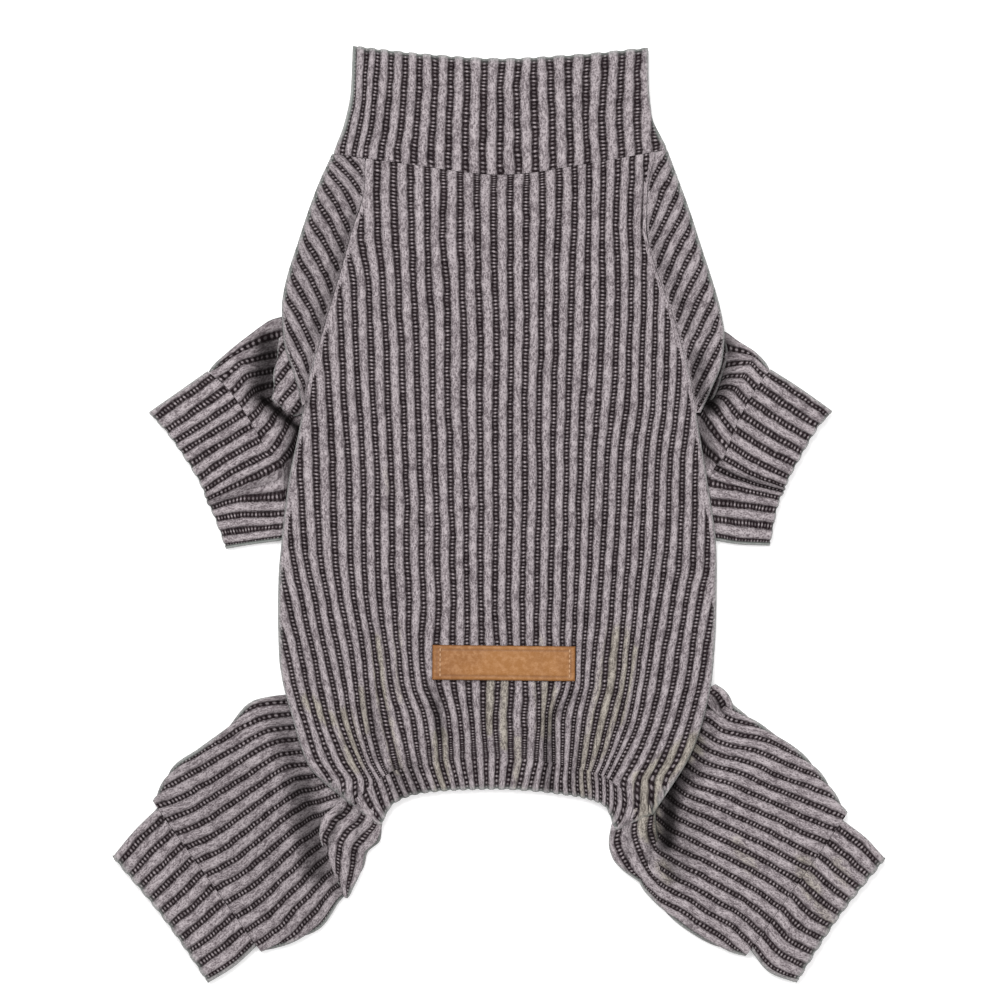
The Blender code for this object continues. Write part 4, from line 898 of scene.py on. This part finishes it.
def cloth(
    name, sections, ends, look, tube=False, wall=WALL, folds=(), seed=0, rib_field=None,
    bands=None, slope=None, row_step=ROW_STEP, shades=FRONT_SHADES, groove=1.0,
):
    """A ribbed wall through the sections. A tube has a flat ribbed bottom too.

    `bands` keeps the edges free of grooves, `groove` is the width of the grooves against the back
    panel's, and `slope` is the angle of ribs that run over the sections aslant.
    """
    middles = [section_parts(numbers)[0].mean(axis=0) for numbers in sections]
    at = lengths_along(middles)
    inner_count = max(3, round(max(Profile(row, folds).flat for row in sections) / wall))
    shell, outer, inner, lower, floor = Shell(), [], [], [], []
    for place in stations(at, ends, row_step, wall):
        profile = Profile(curve_through(sections, at, place)[0], folds, rib_field)
        at_start = place < at[-1] / 2
        end, to_end = ends[0 if at_start else 1], min(place, at[-1] - place)
        folded = end == "fold" and to_end < wall
        tuck = 1.0 - to_end / wall if folded else 0.0
        inward = middles[1] - middles[0] if at_start else middles[-2] - middles[-1]
        notch = SCALLOP * tuck**2 * inward / np.hypot(*inward)
        dip = end_dip(end, to_end, wall)
        lift, fade = dip if folded else 0.0, 1.0 - min(1.0, DIP_FLATTENS * dip)

        ribs = profile.columns(RIB_STEPS)
        waver = WOBBLE * grain(ribs[1:-1] * WOBBLE_PER_RIB, place / WOBBLE_CELL, seed)
        inside = profile.place_of(ribs[1:-1] + waver)
        along = np.concatenate([[profile.first], inside, [profile.last]])
        strength = np.full(len(along), groove)
        if bands:
            strength *= profile.groove_strength(along, bands)
        turn = profile.turn(along)
        depth = rib_depth(ribs) * strength * fade + dip * (turn < DIP_TURN)
        shape = profile.points(along, depth)
        x, y = shape[:, 0], shape[:, 1]
        rise = UNEVEN * grain(x / UNEVEN_CELL[0], y / UNEVEN_CELL[1], seed + 3)
        rise += RIB_UNEVEN * grain(np.floor(ribs) * UNEVEN_PER_RIB, y / RIB_UNEVEN_CELL, seed + 5)
        shape[:, 2] += rise * np.cos(np.minimum(turn, QUARTER_TURN)) * fade
        drawn_in = scallop(ribs)[:, None] * notch if folded else 0.0
        shape[:, :2] += drawn_in
        dense = folded or to_end == 0.0
        inner_along = along if dense else profile.inner_places(inner_count)
        inner_shape = profile.points(inner_along, wall - lift)
        inner_shape[:, :2] += drawn_in
        if tube:
            shape[[0, -1], 2] = lift
            shape[:, 2] = np.maximum(shape[:, 2], lift)
            over = profile.turn(inner_along) < QUARTER_TURN
            least = wall - lift + LEAST_HOLLOW * over
            inner_shape[:, 2] = np.maximum(inner_shape[:, 2], least)
        v = place
        if slope:
            v = -(x * math.cos(math.radians(slope)) + y * math.sin(math.radians(slope)))
        # Painted cool rim light where the cloth turns down, and along folded edges
        rim = step_between(turn, *RIM_IN) * (1.0 - RIM_LOSS * step_between(turn, *RIM_OUT))
        rim = np.maximum(rim, FOLD_RIM * step_between(tuck, *FOLD_RIM_IN))
        # Painted shade of creases and pits, from the piece's table of shades
        tint, shade = blots(TINTS, shape[:, :2]), blots(shades, shape[:, :2])
        outer.append((shell.add(shape, ribs, v, strength, rim, tint, shade), ribs))
        inner.append((shell.add(inner_shape, 0.5, 0.0), shares(inner_along)))

        if tube:
            across = profile.place_of(profile.columns(LOWER_RIB_STEPS)[::-1])
            from_side = np.minimum(across, profile.flat - across)
            across = across[from_side > LEAST_ROW_STEP]
            across = np.concatenate([[profile.flat], across, [0.0]])
            from_side = np.minimum(across, profile.flat - across)
            under = profile.rib_at(across)
            drawn_in = scallop(under)[:, None] * notch if folded else 0.0
            hollow = UNDER_RIBS * rib_depth(under) * np.clip(from_side / SEAM_REACH, 0.0, 1.0)
            low = under_side(profile, across, lift + hollow * fade, drawn_in, shape)
            lower.append((shell.add(low, under, place), -under))
            across = across if dense else np.linspace(profile.flat, 0.0, 5)
            low = under_side(profile, across, wall - lift, drawn_in, inner_shape)
            floor.append((shell.add(low, 0.5, 0.0), shares(across)))
    for rows in (outer, inner, lower, floor):
        shell.weave(rows)
    shell.close_ends(outer, inner)
    if tube:
        shell.close_ends(lower, floor)
    else:
        shell.close_edges(outer, inner)
    return shell.make(name, look)


def on_line(line, at_x, shift):
    """Points at the given x places of a seam line, moved by `shift` along Y."""
    marks = lengths_along(line)
    dense = curve_through(line, marks, np.linspace(0.0, marks[-1], 400))
    return np.column_stack([at_x, np.interp(at_x, *dense.T) + shift])


def raglan_x(y, side):
    """X of the raglan seam at this Y: column 1 is the left seam, column 2 the right one."""
    seam = np.array(RAGLAN_SEAM)[::-1]
    return curve_through(seam[:, side], seam[:, 0], y)[0]


def bowed(y_left, y_middle, y_right, x_left, x_right, inset, pull):
    """Five points across. The second and the fourth lie in from the sides by `inset` of the width,
    and their y is that of the side by `pull`, and for the rest that of the middle.
    """
    step = inset * (x_right - x_left)
    return [
        (x_left, y_left), (x_left + step, pull * y_left + (1.0 - pull) * y_middle),
        ((x_left + x_right) / 2, y_middle),
        (x_right - step, pull * y_right + (1.0 - pull) * y_middle), (x_right, y_right),
    ]


def make_collar(look):
    """As on the back panel, the ribs come from their course, not from the sections."""
    rows = [bowed(*row, 0.25, 0.35) for row in COLLAR_ROWS] + [COLLAR_SEAM]
    sections = [section(row, NO_RIBS, BODY_HEIGHTS, ROUND_SIDE, ROUND_SIDE) for row in rows]
    return cloth(
        "knit_collar", sections, ("fold", "seam"), look, tube=True, wall=DOUBLED_WALL, seed=11,
        rib_field=collar_rib,
    )


def make_back(look):
    half, rest = RAGLAN_GAP / 2, (NO_RIBS, BODY_HEIGHTS)
    corners = [raglan_x(BACK_CORNERS[0], 1) + half, raglan_x(BACK_CORNERS[1], 2) - half]
    top_x = [corners[0], *(x for x, _ in COLLAR_SEAM[1:-1]), corners[1]]
    top = on_line(COLLAR_SEAM, top_x, -SEAM_GAP)
    sections = [section(top, *rest, SEAM_EDGE, SEAM_EDGE)]
    for y_left, y_middle, y_right, *x, edge in BACK_ROWS:
        x_left, x_right = x or (raglan_x(y_left, 1) + half, raglan_x(y_right, 2) - half)
        points = bowed(y_left, y_middle, y_right, x_left, x_right, 0.3, 0.25)
        sections.append(section(points, *rest, edge, edge))
    bottom = np.array(HEM_SEAM) - (0.0, HEM_OVERLAP)
    sections.append(section(bottom, *rest, LIFTED_EDGE, LIFTED_EDGE))
    return cloth(
        "knit_back", sections, ("seam", "plain"), look, folds=BODY_FOLDS, seed=BODY_SEED,
        rib_field=back_rib, bands=BACK_BANDS,
    )


def make_tail_hem(look):
    """A band whose ribs carry on those of the back panel, drawn together at the free edge."""
    sections = []
    for line in (np.array(HEM_SEAM) - (0.0, HEM_GAP), np.array(HEM_EDGE)):
        marks = lengths_along(line[:, :2])
        line = curve_through(line, marks, np.linspace(0.0, marks[-1], HEM_POINTS))
        at_seam = line.shape[1] == 2
        ribs = back_rib(line) if at_seam else line[:, 2]
        heights = [BODY_HEIGHT] * HEM_POINTS if at_seam else line[:, 3]
        sections.append(section(line[:, :2], ribs, heights, LIFTED_EDGE, LIFTED_EDGE))
    return cloth(
        "knit_tail_hem", sections, ("plain", "fold"), look, folds=BODY_FOLDS, seed=BODY_SEED,
        row_step=1.5, bands=HEM_BANDS,
    )


def make_cap(name, rows, side, look):
    """A raglan cap: `side` is 1 on the left and 2 on the right."""
    away = RAGLAN_GAP / (-2 if side == 1 else 2)
    outer_x = COLLAR_SEAM[0 if side == 1 else -1][0]
    seam_end = raglan_x(CAP_CORNER, side) + away
    top = on_line(COLLAR_SEAM, [outer_x, (outer_x + seam_end) / 2, seam_end], -SEAM_GAP)
    first, last = CAP_FIRST_RIBS[side - 1]
    ribs = (first, (first + last) / 2, last)
    sections = [section(top, ribs, CAP_HEIGHTS, CAP_NECK_SIDE, SEAM_EDGE)]
    for y_side, y_seam, x_side, first, last, edge in rows:
        x_seam = raglan_x(y_seam, side) + away
        middle = ((x_side + x_seam) / 2, (y_side + y_seam) / 2)
        points = [(x_side, y_side), middle, (x_seam, y_seam)]
        ribs = (first, (first + last) / 2, last)
        sections.append(section(points, ribs, CAP_HEIGHTS, edge, SEAM_EDGE))
    slope = -CAP_RIB_SLOPE if side == 1 else CAP_RIB_SLOPE
    return cloth(
        name, sections, ("seam", "plain"), look, slope=slope, seed=40 + side, row_step=1.2,
        bands=CAP_BANDS, shades=CAP_SHADES, groove=0.88,
    )


def limb_section(points, ribs, heights):
    """A section of a tube: each side is turned by half its own height."""
    return section(points, ribs, heights, (heights[0] / 2, 180.0), (heights[-1] / 2, 180.0))


def make_sleeve(side, rows, cuff_rows, seam_ribs, look, seed):
    """The sleeve starts beside its cuff, at the seam gap from the cuff's last row."""
    rows, cuff_rows = np.reshape(rows, (-1, 7, 2)), np.reshape(cuff_rows, (-1, 7, 2))
    away = rows[0].mean(axis=0) - cuff_rows[-1].mean(axis=0)
    rows = [cuff_rows[-1] + SEAM_GAP * away / np.hypot(*away), *rows]
    ribs = [seam_ribs] + [SLEEVE_RIBS] * (len(rows) - 1)
    sections = list(map(limb_section, rows, ribs, SLEEVE_HEIGHTS))
    sleeve = cloth(
        "knit_sleeve_" + side, sections, ("plain", "plain"), look, tube=True, wall=LIMB_WALL,
        seed=seed, row_step=1.4, shades=LIMB_SHADES, groove=0.92,
    )
    sections = list(map(limb_section, cuff_rows, [SLEEVE_CUFF_RIBS] * 3, SLEEVE_CUFF_HEIGHTS))
    cuff = cloth(
        "knit_sleeve_cuff_" + side, sections, ("fold", "plain"), look, tube=True, wall=LIMB_WALL,
        seed=seed + 1, row_step=1.6, shades=LIMB_SHADES,
    )
    return {"sleeve_" + side: sleeve, "sleeve_cuff_" + side: cuff}


def leg_section(outer, inner, ribs, heights, bow=0.0):
    """Outer side, middle and inner side. The middle is moved by `bow` towards the body."""
    outer, inner = np.array(outer), np.array(inner)
    across = (inner - outer) / np.hypot(*(inner - outer))
    turned = np.array([-across[1], across[0]]) * math.copysign(bow, across[0])
    ribs = (ribs[0], sum(ribs) / 2, ribs[1])
    return limb_section([outer, (outer + inner) / 2 + turned, inner], ribs, heights)


def make_leg(side, rows, cuff_rows, folds, look, seed):
    """The cuff ends at the leg's first row: off it by the seam gap, and drawn in at both sides."""
    leg = cloth(
        "knit_leg_" + side, [leg_section(row[:2], row[2:4], row[4:6], row[6:]) for row in rows],
        ("seam", "plain"), look, tube=True, wall=LIMB_WALL, folds=folds, seed=seed,
        shades=LIMB_SHADES, groove=0.84,
    )
    seam, onward = np.reshape([row[:4] for row in rows[:2]], (2, 2, 2))
    across = (seam[1] - seam[0]) / np.hypot(*(seam[1] - seam[0]))
    away = seam.mean(axis=0) - onward.mean(axis=0)
    away -= (away @ across) * across
    outer, inner = seam + SEAM_GAP * away / np.hypot(*away)
    last_row = (*(outer + across * LEG_CUFF_INSET[0]), *(inner - across * LEG_CUFF_INSET[1]), 0.0)
    sections = [
        leg_section(row[:2], row[2:4], LEG_CUFF_RIBS, [CUFF_HEIGHT] * 3, row[4])
        for row in (*cuff_rows, last_row)
    ]
    cuff = cloth(
        "knit_leg_cuff_" + side, sections, ("fold", "seam"), look, tube=True, wall=DOUBLED_WALL,
        seed=seed + 1, shades=LIMB_SHADES, groove=0.9,
    )
    return {"leg_" + side: leg, "leg_cuff_" + side: cuff}


def make_patch(name, rows, heights, edges, look, seed, slope=None, folds=()):
    """Folded-over cloth: `heights` at its left side, middle and right side. Its tip sinks."""
    sections = []
    for place, row in zip(np.linspace(0.0, 1.0, len(rows)), np.reshape(rows, (-1, 3, 3))):
        sunk = np.array(heights) * (1.0 - PATCH_SINK * place**3)
        sections.append(section(row[:, :2], row[:, 2], sunk, *edges))
    return cloth(
        name, sections, ("plain", "fold"), look, wall=PATCH_WALL, seed=seed, slope=slope,
        row_step=1.2, folds=folds, groove=0.88,
    )


def join(piece, other):
    """Make the other object part of the piece."""
    bpy.ops.object.select_all(action="DESELECT")
    other.select_set(True)
    piece.select_set(True)
    bpy.context.view_layer.objects.active = piece
    bpy.ops.object.join()
    piece.select_set(False)


def make_belly(look):
    """The belly panel lies on the table with its ribs down. Its last line is the neck's."""
    rows = np.array(BELLY_ROWS)[::-1]
    count = math.ceil(np.ptp(rows[:, 0]) / BELLY_ROW_STEP)
    levels = np.linspace(rows[0, 0], rows[-1, 0], count + 1)
    sides = curve_through(rows[:, 1:], rows[:, 0], levels)
    lines = [(ends, (level, level)) for ends, level in zip(sides, levels)]
    neck = on_line(COLLAR_SEAM, np.linspace(*BELLY_NECK, 9), -SEAM_GAP)
    shell, lower, upper = Shell(), [], []
    for line_x, line_y in (*lines, tuple(neck.T)):
        left, right = line_x[0], line_x[-1]
        numbers = range(math.ceil(left / BELLY_PITCH), math.floor(right / BELLY_PITCH) + 1)
        x = BELLY_PITCH * np.array([n + step for n in numbers for step in LOWER_RIB_STEPS])
        x = np.array([left, *x[(x > left + BELLY_SIDE) & (x < right - BELLY_SIDE)], right])
        y = np.interp(x, line_x, line_y)
        depth = UNDER_RIBS * rib_depth(x / BELLY_PITCH)
        depth[[0, -1]] = BELLY_SIDE_RISE
        for side, z in ((lower, depth), (upper, np.full(len(x), WALL))):
            side.append((shell.add(np.column_stack([x, y, z]), x / BELLY_PITCH, y), x))
    shell.weave(lower)
    shell.weave(upper)
    shell.close_ends(lower, upper)
    shell.close_edges(lower, upper)
    return shell.make("knit_belly", look)


class Value:
    """An output of a material's nodes, which can be calculated with."""

    def __init__(self, finish, socket):
        self.finish, self.socket = finish, socket

    def math(self, operation, other=0.0):
        return self.finish.node("Math", (self, other), operation=operation)

    def __add__(self, other):
        return self.math("ADD", other)

    def __sub__(self, other):
        return self.math("SUBTRACT", other)

    def __mul__(self, other):
        return self.math("MULTIPLY", other)

    def __truediv__(self, other):
        return self.math("DIVIDE", other)

    def smooth(self, low, high, to_low=0.0, to_high=1.0):
        given = (self, low, high, to_low, to_high)
        return self.finish.node("MapRange", given, interpolation_type="SMOOTHSTEP")


class Finish:
    """A material that is put together from short calls."""

    def __init__(self, name):
        self.material = bpy.data.materials.new(name)
        self.material.use_nodes = True
        self.tree = self.material.node_tree

    def set(self, node, given):
        """Set or link the node's inputs: all in their order, or some by name or number."""
        for key, value in given.items() if isinstance(given, dict) else enumerate(given):
            if isinstance(value, Value):
                self.tree.links.new(value.socket, node.inputs[key])
            else:
                node.inputs[key].default_value = value

    def node(self, kind, given, output=0, **settings):
        node = self.tree.nodes.new("ShaderNode" + kind)
        for name, setting in settings.items():
            setattr(node, name, setting)
        self.set(node, given)
        return Value(self, node.outputs[output])

    def mix(self, factor, a, b):
        return self.node("Mix", {0: factor, 6: a, 7: b}, 2, data_type="RGBA")

    def noise(self, vector, scale, detail=2.0, roughness=0.5):
        given = {"Vector": vector, "Scale": scale, "Detail": detail, "Roughness": roughness}
        return self.node("TexNoise", given)

    def place(self):
        return self.node("TexCoord", (), "Object")

    def vector(self, x, y):
        return self.node("CombineXYZ", (x, y))

    def uv(self, name):
        """The two numbers of a UV map."""
        both = self.node("UVMap", (), uv_map=name)
        return [self.node("SeparateXYZ", (both,), output) for output in (0, 1)]

    def bump(self, height, distance, strength):
        return self.node("Bump", {"Height": height, "Distance": distance, "Strength": strength})

    def done(self, given):
        """The material, with these inputs of its shader."""
        self.set(self.tree.nodes["Principled BSDF"], given)
        return self.material


def knit_material():
    """Heathered ribs, grooves in painted near-black shade with a chain of small light stitches, and
    a painted cool rim light.
    """
    n = Finish("rib_knit_finish")
    (rib, along), (strength, rim), (tint, shade) = n.uv("rib"), n.uv("edge"), n.uv("tone")
    place = n.place()
    fuzz, wander = n.noise(place, 1500.0, 1.0), n.noise(place, 160.0, 1.0)
    rib = rib + (fuzz - 0.5) * 0.10 + (wander - 0.5) * 0.16
    away = rib.math("PINGPONG", 0.5)
    scaled = away / strength.math("MAXIMUM", 0.05)
    groove = scaled.smooth(0.175, 0.25, 1.0, 0.0) * strength.smooth(0.02, 0.3)
    # Painted shade on the rounded flanks of the ribs beside each groove
    painted_flank_shade = scaled.smooth(0.2, 0.38, 1.0, 0.0) * strength

    # Stitches in the grooves: beads joined by faint rungs, some lighter than others
    number = rib.math("ROUND")
    row = along / STITCH + number * 0.37 + wander * 0.9
    in_row = (row.math("FRACT") - 0.5) * 2.0
    luck = n.node("TexWhiteNoise", (n.vector(number, row.math("FLOOR")),), noise_dimensions="3D")
    across, up = away / 0.1, in_row / 0.6
    bead = (across * across + up * up).smooth(0.25, 1.3, 1.0, 0.0) * (luck * 0.85 + 0.25)
    rung = in_row.math("ABSOLUTE").smooth(0.2, 0.7, 1.0, 0.0) * luck * 0.2
    stitch = bead.math("MAXIMUM", rung)

    # Fibres on the ribs
    slant = (rib * 3.0).math("PINGPONG", 0.5) * 1.1 + along / 1.25
    weave = (slant * (2.0 * math.pi)).math("SINE")
    streak = n.noise(n.vector(rib * 7.0, along * 0.3), 1.0)
    fibre = n.noise(n.vector(rib * 16.0, along * 0.75), 1.0)
    speck, cloud = n.noise(place, 1500.0, 2.0, 0.7), n.noise(place, 130.0, 3.0)
    light = (streak - 0.5) * 1.25 + 0.5 + (fibre - 0.5) * 1.5
    light = light + (speck - 0.5) + (cloud - 0.5) * 0.7 + weave * 0.05

    level = light.smooth(0.08, 0.94)
    beige = n.mix(level, BEIGE_DARK, BEIGE_LIGHT)
    tinted = ((streak - 0.5) * 0.8 + tint).smooth(0.1, 0.7, 0.0, 0.8)
    ribs = n.mix(tinted, n.mix(level, RIB_DARK, RIB_LIGHT), beige)
    # Painted shade darkens the ribs' flanks beside the grooves
    ribs = n.mix(painted_flank_shade * 0.42, ribs, PAINTED_GROOVE_SHADE_PALE)
    # Grooves painted near-black as the shade of their recesses, with lit stitches in them
    grooves = n.mix(stitch, n.mix(light.smooth(0.2, 0.8), PAINTED_GROOVE_SHADE_DARK, PAINTED_GROOVE_SHADE_PALE), BEAD)
    # Painted cool rim light over the knit at the turned edges
    knit = n.mix(rim * 0.6, n.mix(groove, ribs, grooves), PAINTED_RIM_LIGHT)
    height = weave * (groove * -0.12 + 0.12) + speck * 0.5 + fibre * 0.35 + streak * 0.4
    height = height + stitch * groove * 0.9
    return n.done({
        # Painted shade darkens the creases and pits
        "Base Color": n.mix(shade, knit, PAINTED_PIT_SHADE),
        "Normal": n.bump(height, 0.0006, 0.8),
        "Roughness": speck.smooth(0.2, 0.8, 0.97, 0.86),
        "Specular IOR Level": 0.05,
    })


def leather_material():
    """Smooth tan leather with a fine grain, uneven colour and darker pressed lines."""
    n = Finish("label_leather_finish")
    (pressed, edge), (thread, _) = n.uv("edge"), n.uv("tone")
    place = n.place()
    cloud, spots = n.noise(place, 55.0, 3.0), n.noise(place, 420.0, 3.0, 0.6)
    tan = n.mix(cloud.smooth(0.32, 0.66, 0.4), LEATHER_DARK, LEATHER)
    tan = n.mix(spots.smooth(0.4, 0.72, 0.0, 0.45), tan, LEATHER_LIGHT)
    for dark in (pressed, edge):
        tan = n.mix(dark * 0.5, tan, LEATHER_PRESSED)
    cells = n.node("TexVoronoi", {"Vector": place, "Scale": 2600.0}, "Distance")
    return n.done({
        "Base Color": n.mix(thread, tan, THREAD),
        "Normal": n.bump(cells * 0.6 + spots * 0.6, 0.00025, 0.5),
        "Roughness": spots.smooth(0.3, 0.7, 0.62, 0.48),
        "Specular IOR Level": 0.4,
    })


def add_stitch(shell, x, y):
    """One stitch of thread along Y: a closed spindle."""
    angles = np.arange(THREAD_SIDES) * 2 * math.pi / THREAD_SIDES
    rings = []
    for t in np.linspace(-0.98, 0.98, 7):
        radius = THREAD_WIDTH / 2 * math.sqrt(1.0 - t**4)
        across, up = x + radius * np.cos(angles), THREAD_HEIGHT + 0.7 * radius * np.sin(angles)
        ring = np.column_stack([across, np.full(THREAD_SIDES, y + t * THREAD_LENGTH / 2), up])
        rings.append(shell.add(ring, 0.5, 0.0, grooved=0.0, tint=1.0))
    for a, b in zip(rings, rings[1:]):
        shell.faces += [(a[i - 1], a[i], b[i], b[i - 1]) for i in range(THREAD_SIDES)]
    shell.faces += [tuple(rings[0][::-1]), tuple(rings[-1])]


def make_label(look):
    """A leather plate with soft edges, a line pressed round its border and stitches at both ends."""
    columns, rows = LABEL_GRID
    half_x, half_y = LABEL_SIZE[0] / 2, LABEL_SIZE[1] / 2
    lines = np.meshgrid(np.linspace(-half_x, half_x, columns), np.linspace(-half_y, half_y, rows))
    x, y = (line.ravel() for line in lines)
    inside = np.minimum(half_x - np.abs(x), half_y - np.abs(y))

    def near_edge(reach):
        return np.clip(1.0 - inside / reach, 0.0, 1.0)

    stitches = [(x_row, place) for x_row in THREAD_ROWS for place in THREAD_PLACES]
    pressed = np.exp(-(((inside - 1.9) / 0.42) ** 2))
    for x_row, place in stitches:
        hole = np.hypot(x - x_row, np.abs(y - place) - THREAD_LENGTH / 2)
        pressed = np.maximum(pressed, np.exp(-((hole / 0.45) ** 2)))
    puff = 0.16 * (1.0 - near_edge(5.0)) ** 0.5
    top = LABEL_THICKNESS - 0.2 - 0.42 * near_edge(0.8) ** 2 - 0.14 * pressed + puff
    top += 0.08 * grain(x / 9, y / 6, 71)
    low = 0.3 * near_edge(0.6) ** 2
    shell = Shell()
    upper = shell.add(np.column_stack([x, y, top]), x, y, pressed, near_edge(0.7))
    lower = shell.add(np.column_stack([x, y, low]), x, y, 0.0, near_edge(0.7))
    grid = np.arange(columns * rows).reshape(rows, columns)
    for side in (upper, lower):
        for a in grid[:-1, :-1].ravel():
            shell.faces.append((side[a], side[a + 1], side[a + columns + 1], side[a + columns]))
    border = [*grid[0], *grid[1:, -1], *grid[-1, -2::-1], *grid[-2:0:-1, 0]]
    for a, b in zip(border, border[1:] + border[:1]):
        shell.faces.append((lower[a], lower[b], upper[b], upper[a]))
    for x_row, place in stitches:
        add_stitch(shell, x_row, place)
    label = shell.make("leather_label", look)
    centre = Vector((*LABEL_CENTRE, BODY_HEIGHT + LABEL_CLEARANCE)) * MM
    turn = Matrix.Rotation(math.radians(LABEL_TILT), 4, "Z")
    label.data.transform(Matrix.Translation(centre) @ turn)
    return label


def make_stage():
    """A pale floor, a soft light from above and an even surround."""
    bpy.ops.mesh.primitive_plane_add(size=4.0, location=(0.0, 0.0, FLOOR_LEVEL))
    floor = bpy.context.object
    floor.name = "floor"
    floor.data.materials.append(Finish("floor_paper").done({
        "Base Color": FLOOR_COLOUR, "Roughness": 0.9, "Emission Color": WHITE,
        "Emission Strength": FLOOR_GLOW,
    }))
    world = bpy.data.worlds.new("studio")
    world.use_nodes = True
    surround = world.node_tree.nodes["Background"].inputs
    surround["Color"].default_value, surround["Strength"].default_value = WHITE, SURROUND_LIGHT
    bpy.context.scene.world = world
    for name, place, size, power in LIGHTS:
        light = bpy.data.lights.new(name, "AREA")
        light.shape, light.size, light.energy = "SQUARE", size, power
        lamp = bpy.data.objects.new(name, light)
        lamp.location = place
        lamp.rotation_euler = (-lamp.location).to_track_quat("-Z", "Y").to_euler()
        bpy.context.scene.collection.objects.link(lamp)


def make_camera():
    """Straight above the garment, as in the photo."""
    data = bpy.data.cameras.new("camera")
    data.sensor_width = CAMERA_SENSOR
    span = PHOTO_PIXEL * VIEW_PIXELS
    data.lens = CAMERA_SENSOR * (CAMERA_HEIGHT - BODY_HEIGHT / 2) / span
    data.clip_end = 20.0
    camera = bpy.data.objects.new("camera", data)
    camera.location = Vector((*VIEW_CENTRE, CAMERA_HEIGHT)) * MM
    bpy.context.scene.collection.objects.link(camera)
    bpy.context.scene.camera = camera


def declare(piece, node):
    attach(piece, "root")
    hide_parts(node)


def main():
    bpy.context.scene.view_settings.view_transform = "Standard"
    make_stage()
    make_camera()
    knit = knit_material()
    pieces = {
        "collar": make_collar(knit),
        "back_panel": make_back(knit),
        "belly_panel": make_belly(knit),
        "tail_hem": make_tail_hem(knit),
        "sleeve_cap_left": make_cap("knit_cap_left", CAP_LEFT_ROWS, 1, knit),
        "sleeve_cap_right": make_cap("knit_cap_right", CAP_RIGHT_ROWS, 2, knit),
    }
    for side, rows, cuff_rows, seam_ribs, seed in SLEEVES:
        pieces.update(make_sleeve(side, rows, cuff_rows, seam_ribs, knit, seed))
    for side, rows, cuff_rows, folds, seed in LEGS:
        pieces.update(make_leg(side, rows, cuff_rows, folds, knit, seed))
    for node, name, rows, heights, edges, seed, slope, folds in PATCHES:
        join(pieces[node], make_patch(name, rows, heights, edges, knit, seed, slope, folds))
    for node, piece in pieces.items():
        declare(piece, node)
    declare(make_label(leather_material()), "label")


main()
